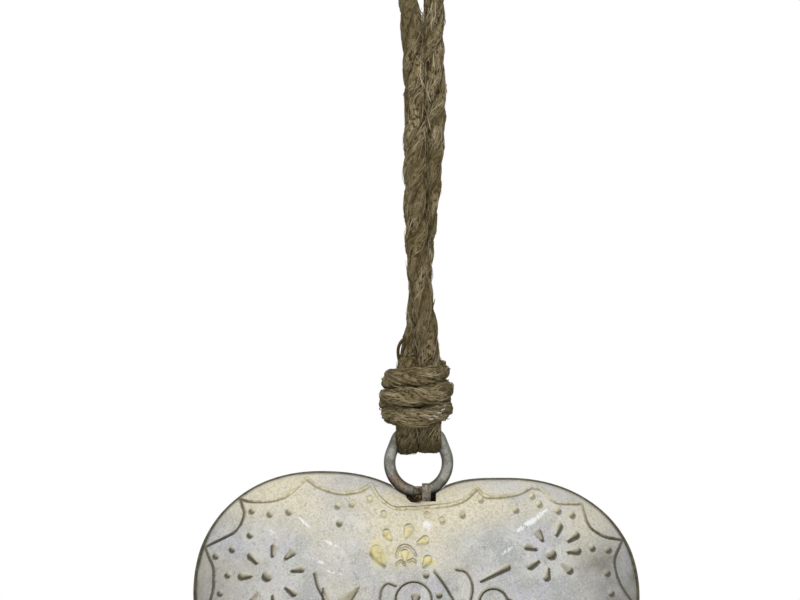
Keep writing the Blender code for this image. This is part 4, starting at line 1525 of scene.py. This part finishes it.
def keep_band(whole, name, low, high, node):
    """The part of a shell between two heights, with the whole shell's shading at its edges."""
    mesh = bmesh.new()
    mesh.from_mesh(whole.data)
    layer = mesh.verts.layers.float_vector.new("whole_normal")
    mesh.normal_update()
    for vert in mesh.verts:
        vert[layer] = vert.normal
    gone = [face for face in mesh.faces if not low <= face.calc_center_median().z < high]
    bmesh.ops.delete(mesh, geom=gone, context="FACES")
    data = bpy.data.meshes.new(name)
    mesh.to_mesh(data)
    mesh.free()
    kept = data.attributes["whole_normal"]
    normals = np.empty(len(data.vertices) * 3, dtype=np.float32)
    kept.data.foreach_get("vector", normals)
    data.shade_smooth()
    data.normals_split_custom_set_from_vertices(normals.reshape(-1, 3).tolist())
    data.attributes.remove(data.attributes["whole_normal"])
    data.materials.clear()
    data.materials.append(whole.data.materials[0])
    piece = link(bpy.data.objects.new(name, data))
    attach(piece, "heart")
    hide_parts(node)


def add_shell(node, side, cells, parts, paint, tool):
    """One shell of the heart, split into parts by height so that each mesh stays moderate."""
    outer, numbers = front_surface(cells)
    inner, _ = dish(INNER_GRID, 1 - SHELL_WALL / MEAN_REACH, SHELL_WALL)
    faces = grid_faces(cells).tolist() + (grid_faces(INNER_GRID)[:, ::-1] + len(outer)).tolist()
    outer_rim = rim_indices(cells).tolist()
    inner_rim = (rim_indices(INNER_GRID) + len(outer)).tolist()
    ratio = cells // INNER_GRID
    for i, corner in enumerate(inner_rim):
        near = [outer_rim[(i * ratio + k) % len(outer_rim)] for k in range(ratio + 1)]
        faces.append([corner, inner_rim[(i + 1) % len(inner_rim)], *near[::-1]])
    places = np.vstack([outer, inner]) * np.array([1, side, 1])
    turned = faces if side > 0 else [face[::-1] for face in faces]
    whole = add_mesh(f"embossed_{node[:-6]}", places, turned, paint, None)
    for key, values in numbers.items():
        # The inner face gets painted shade and no other marks
        within = np.full(len(inner), INNER_SHADE if key == "side_shade" else 0.0)
        set_attribute(whole, key, np.concatenate([values, within]))
    combine(whole, [tool])
    whole.data.shade_smooth()
    for end, low, high in parts:
        keep_band(whole, f"{whole.name}_{end}", low, high, node)
    bpy.data.objects.remove(whole)


def add_heart():
    """Both shells and the seam between them, each with the notch cut out."""
    paint = whitewashed_iron()
    tool = cutter()
    add_shell("front_shell", 1, FRONT_GRID, FRONT_PARTS, paint, tool)
    add_shell("back_shell", -1, BACK_GRID, BACK_PARTS, paint, tool)
    combine(add_seam(), [tool])
    bpy.data.objects.remove(tool)


def add_seam():
    """A bead along the heart's edge, thinner at the top."""
    edge = edge_at(np.linspace(0, TURN, 900, endpoint=False))
    points = np.stack([edge[:, 0], np.zeros(len(edge)), edge[:, 1]], 1)
    radii = (0.52 + 0.46 * ramp(CLEFT_HEIGHT - edge[:, 1], 0, 0.014)) * MM
    return add_tube("rim_bead", points, radii, 10, dark_seam(), "heart", ("rim_seam",), True)


add_heart()


FLOOR_RADIUS = 0.6
FLOOR_HEIGHT = -0.324


def add_floor():
    """A pale disc under the object."""
    place = (0, 0, FLOOR_HEIGHT)
    bpy.ops.mesh.primitive_circle_add(vertices=96, radius=FLOOR_RADIUS, fill_type="NGON", location=place)
    floor = bpy.context.object
    floor.name = "floor"
    floor.data.materials.append(Look("floor").finish((0.8, 0.8, 0.8), 0.9))


add_floor()
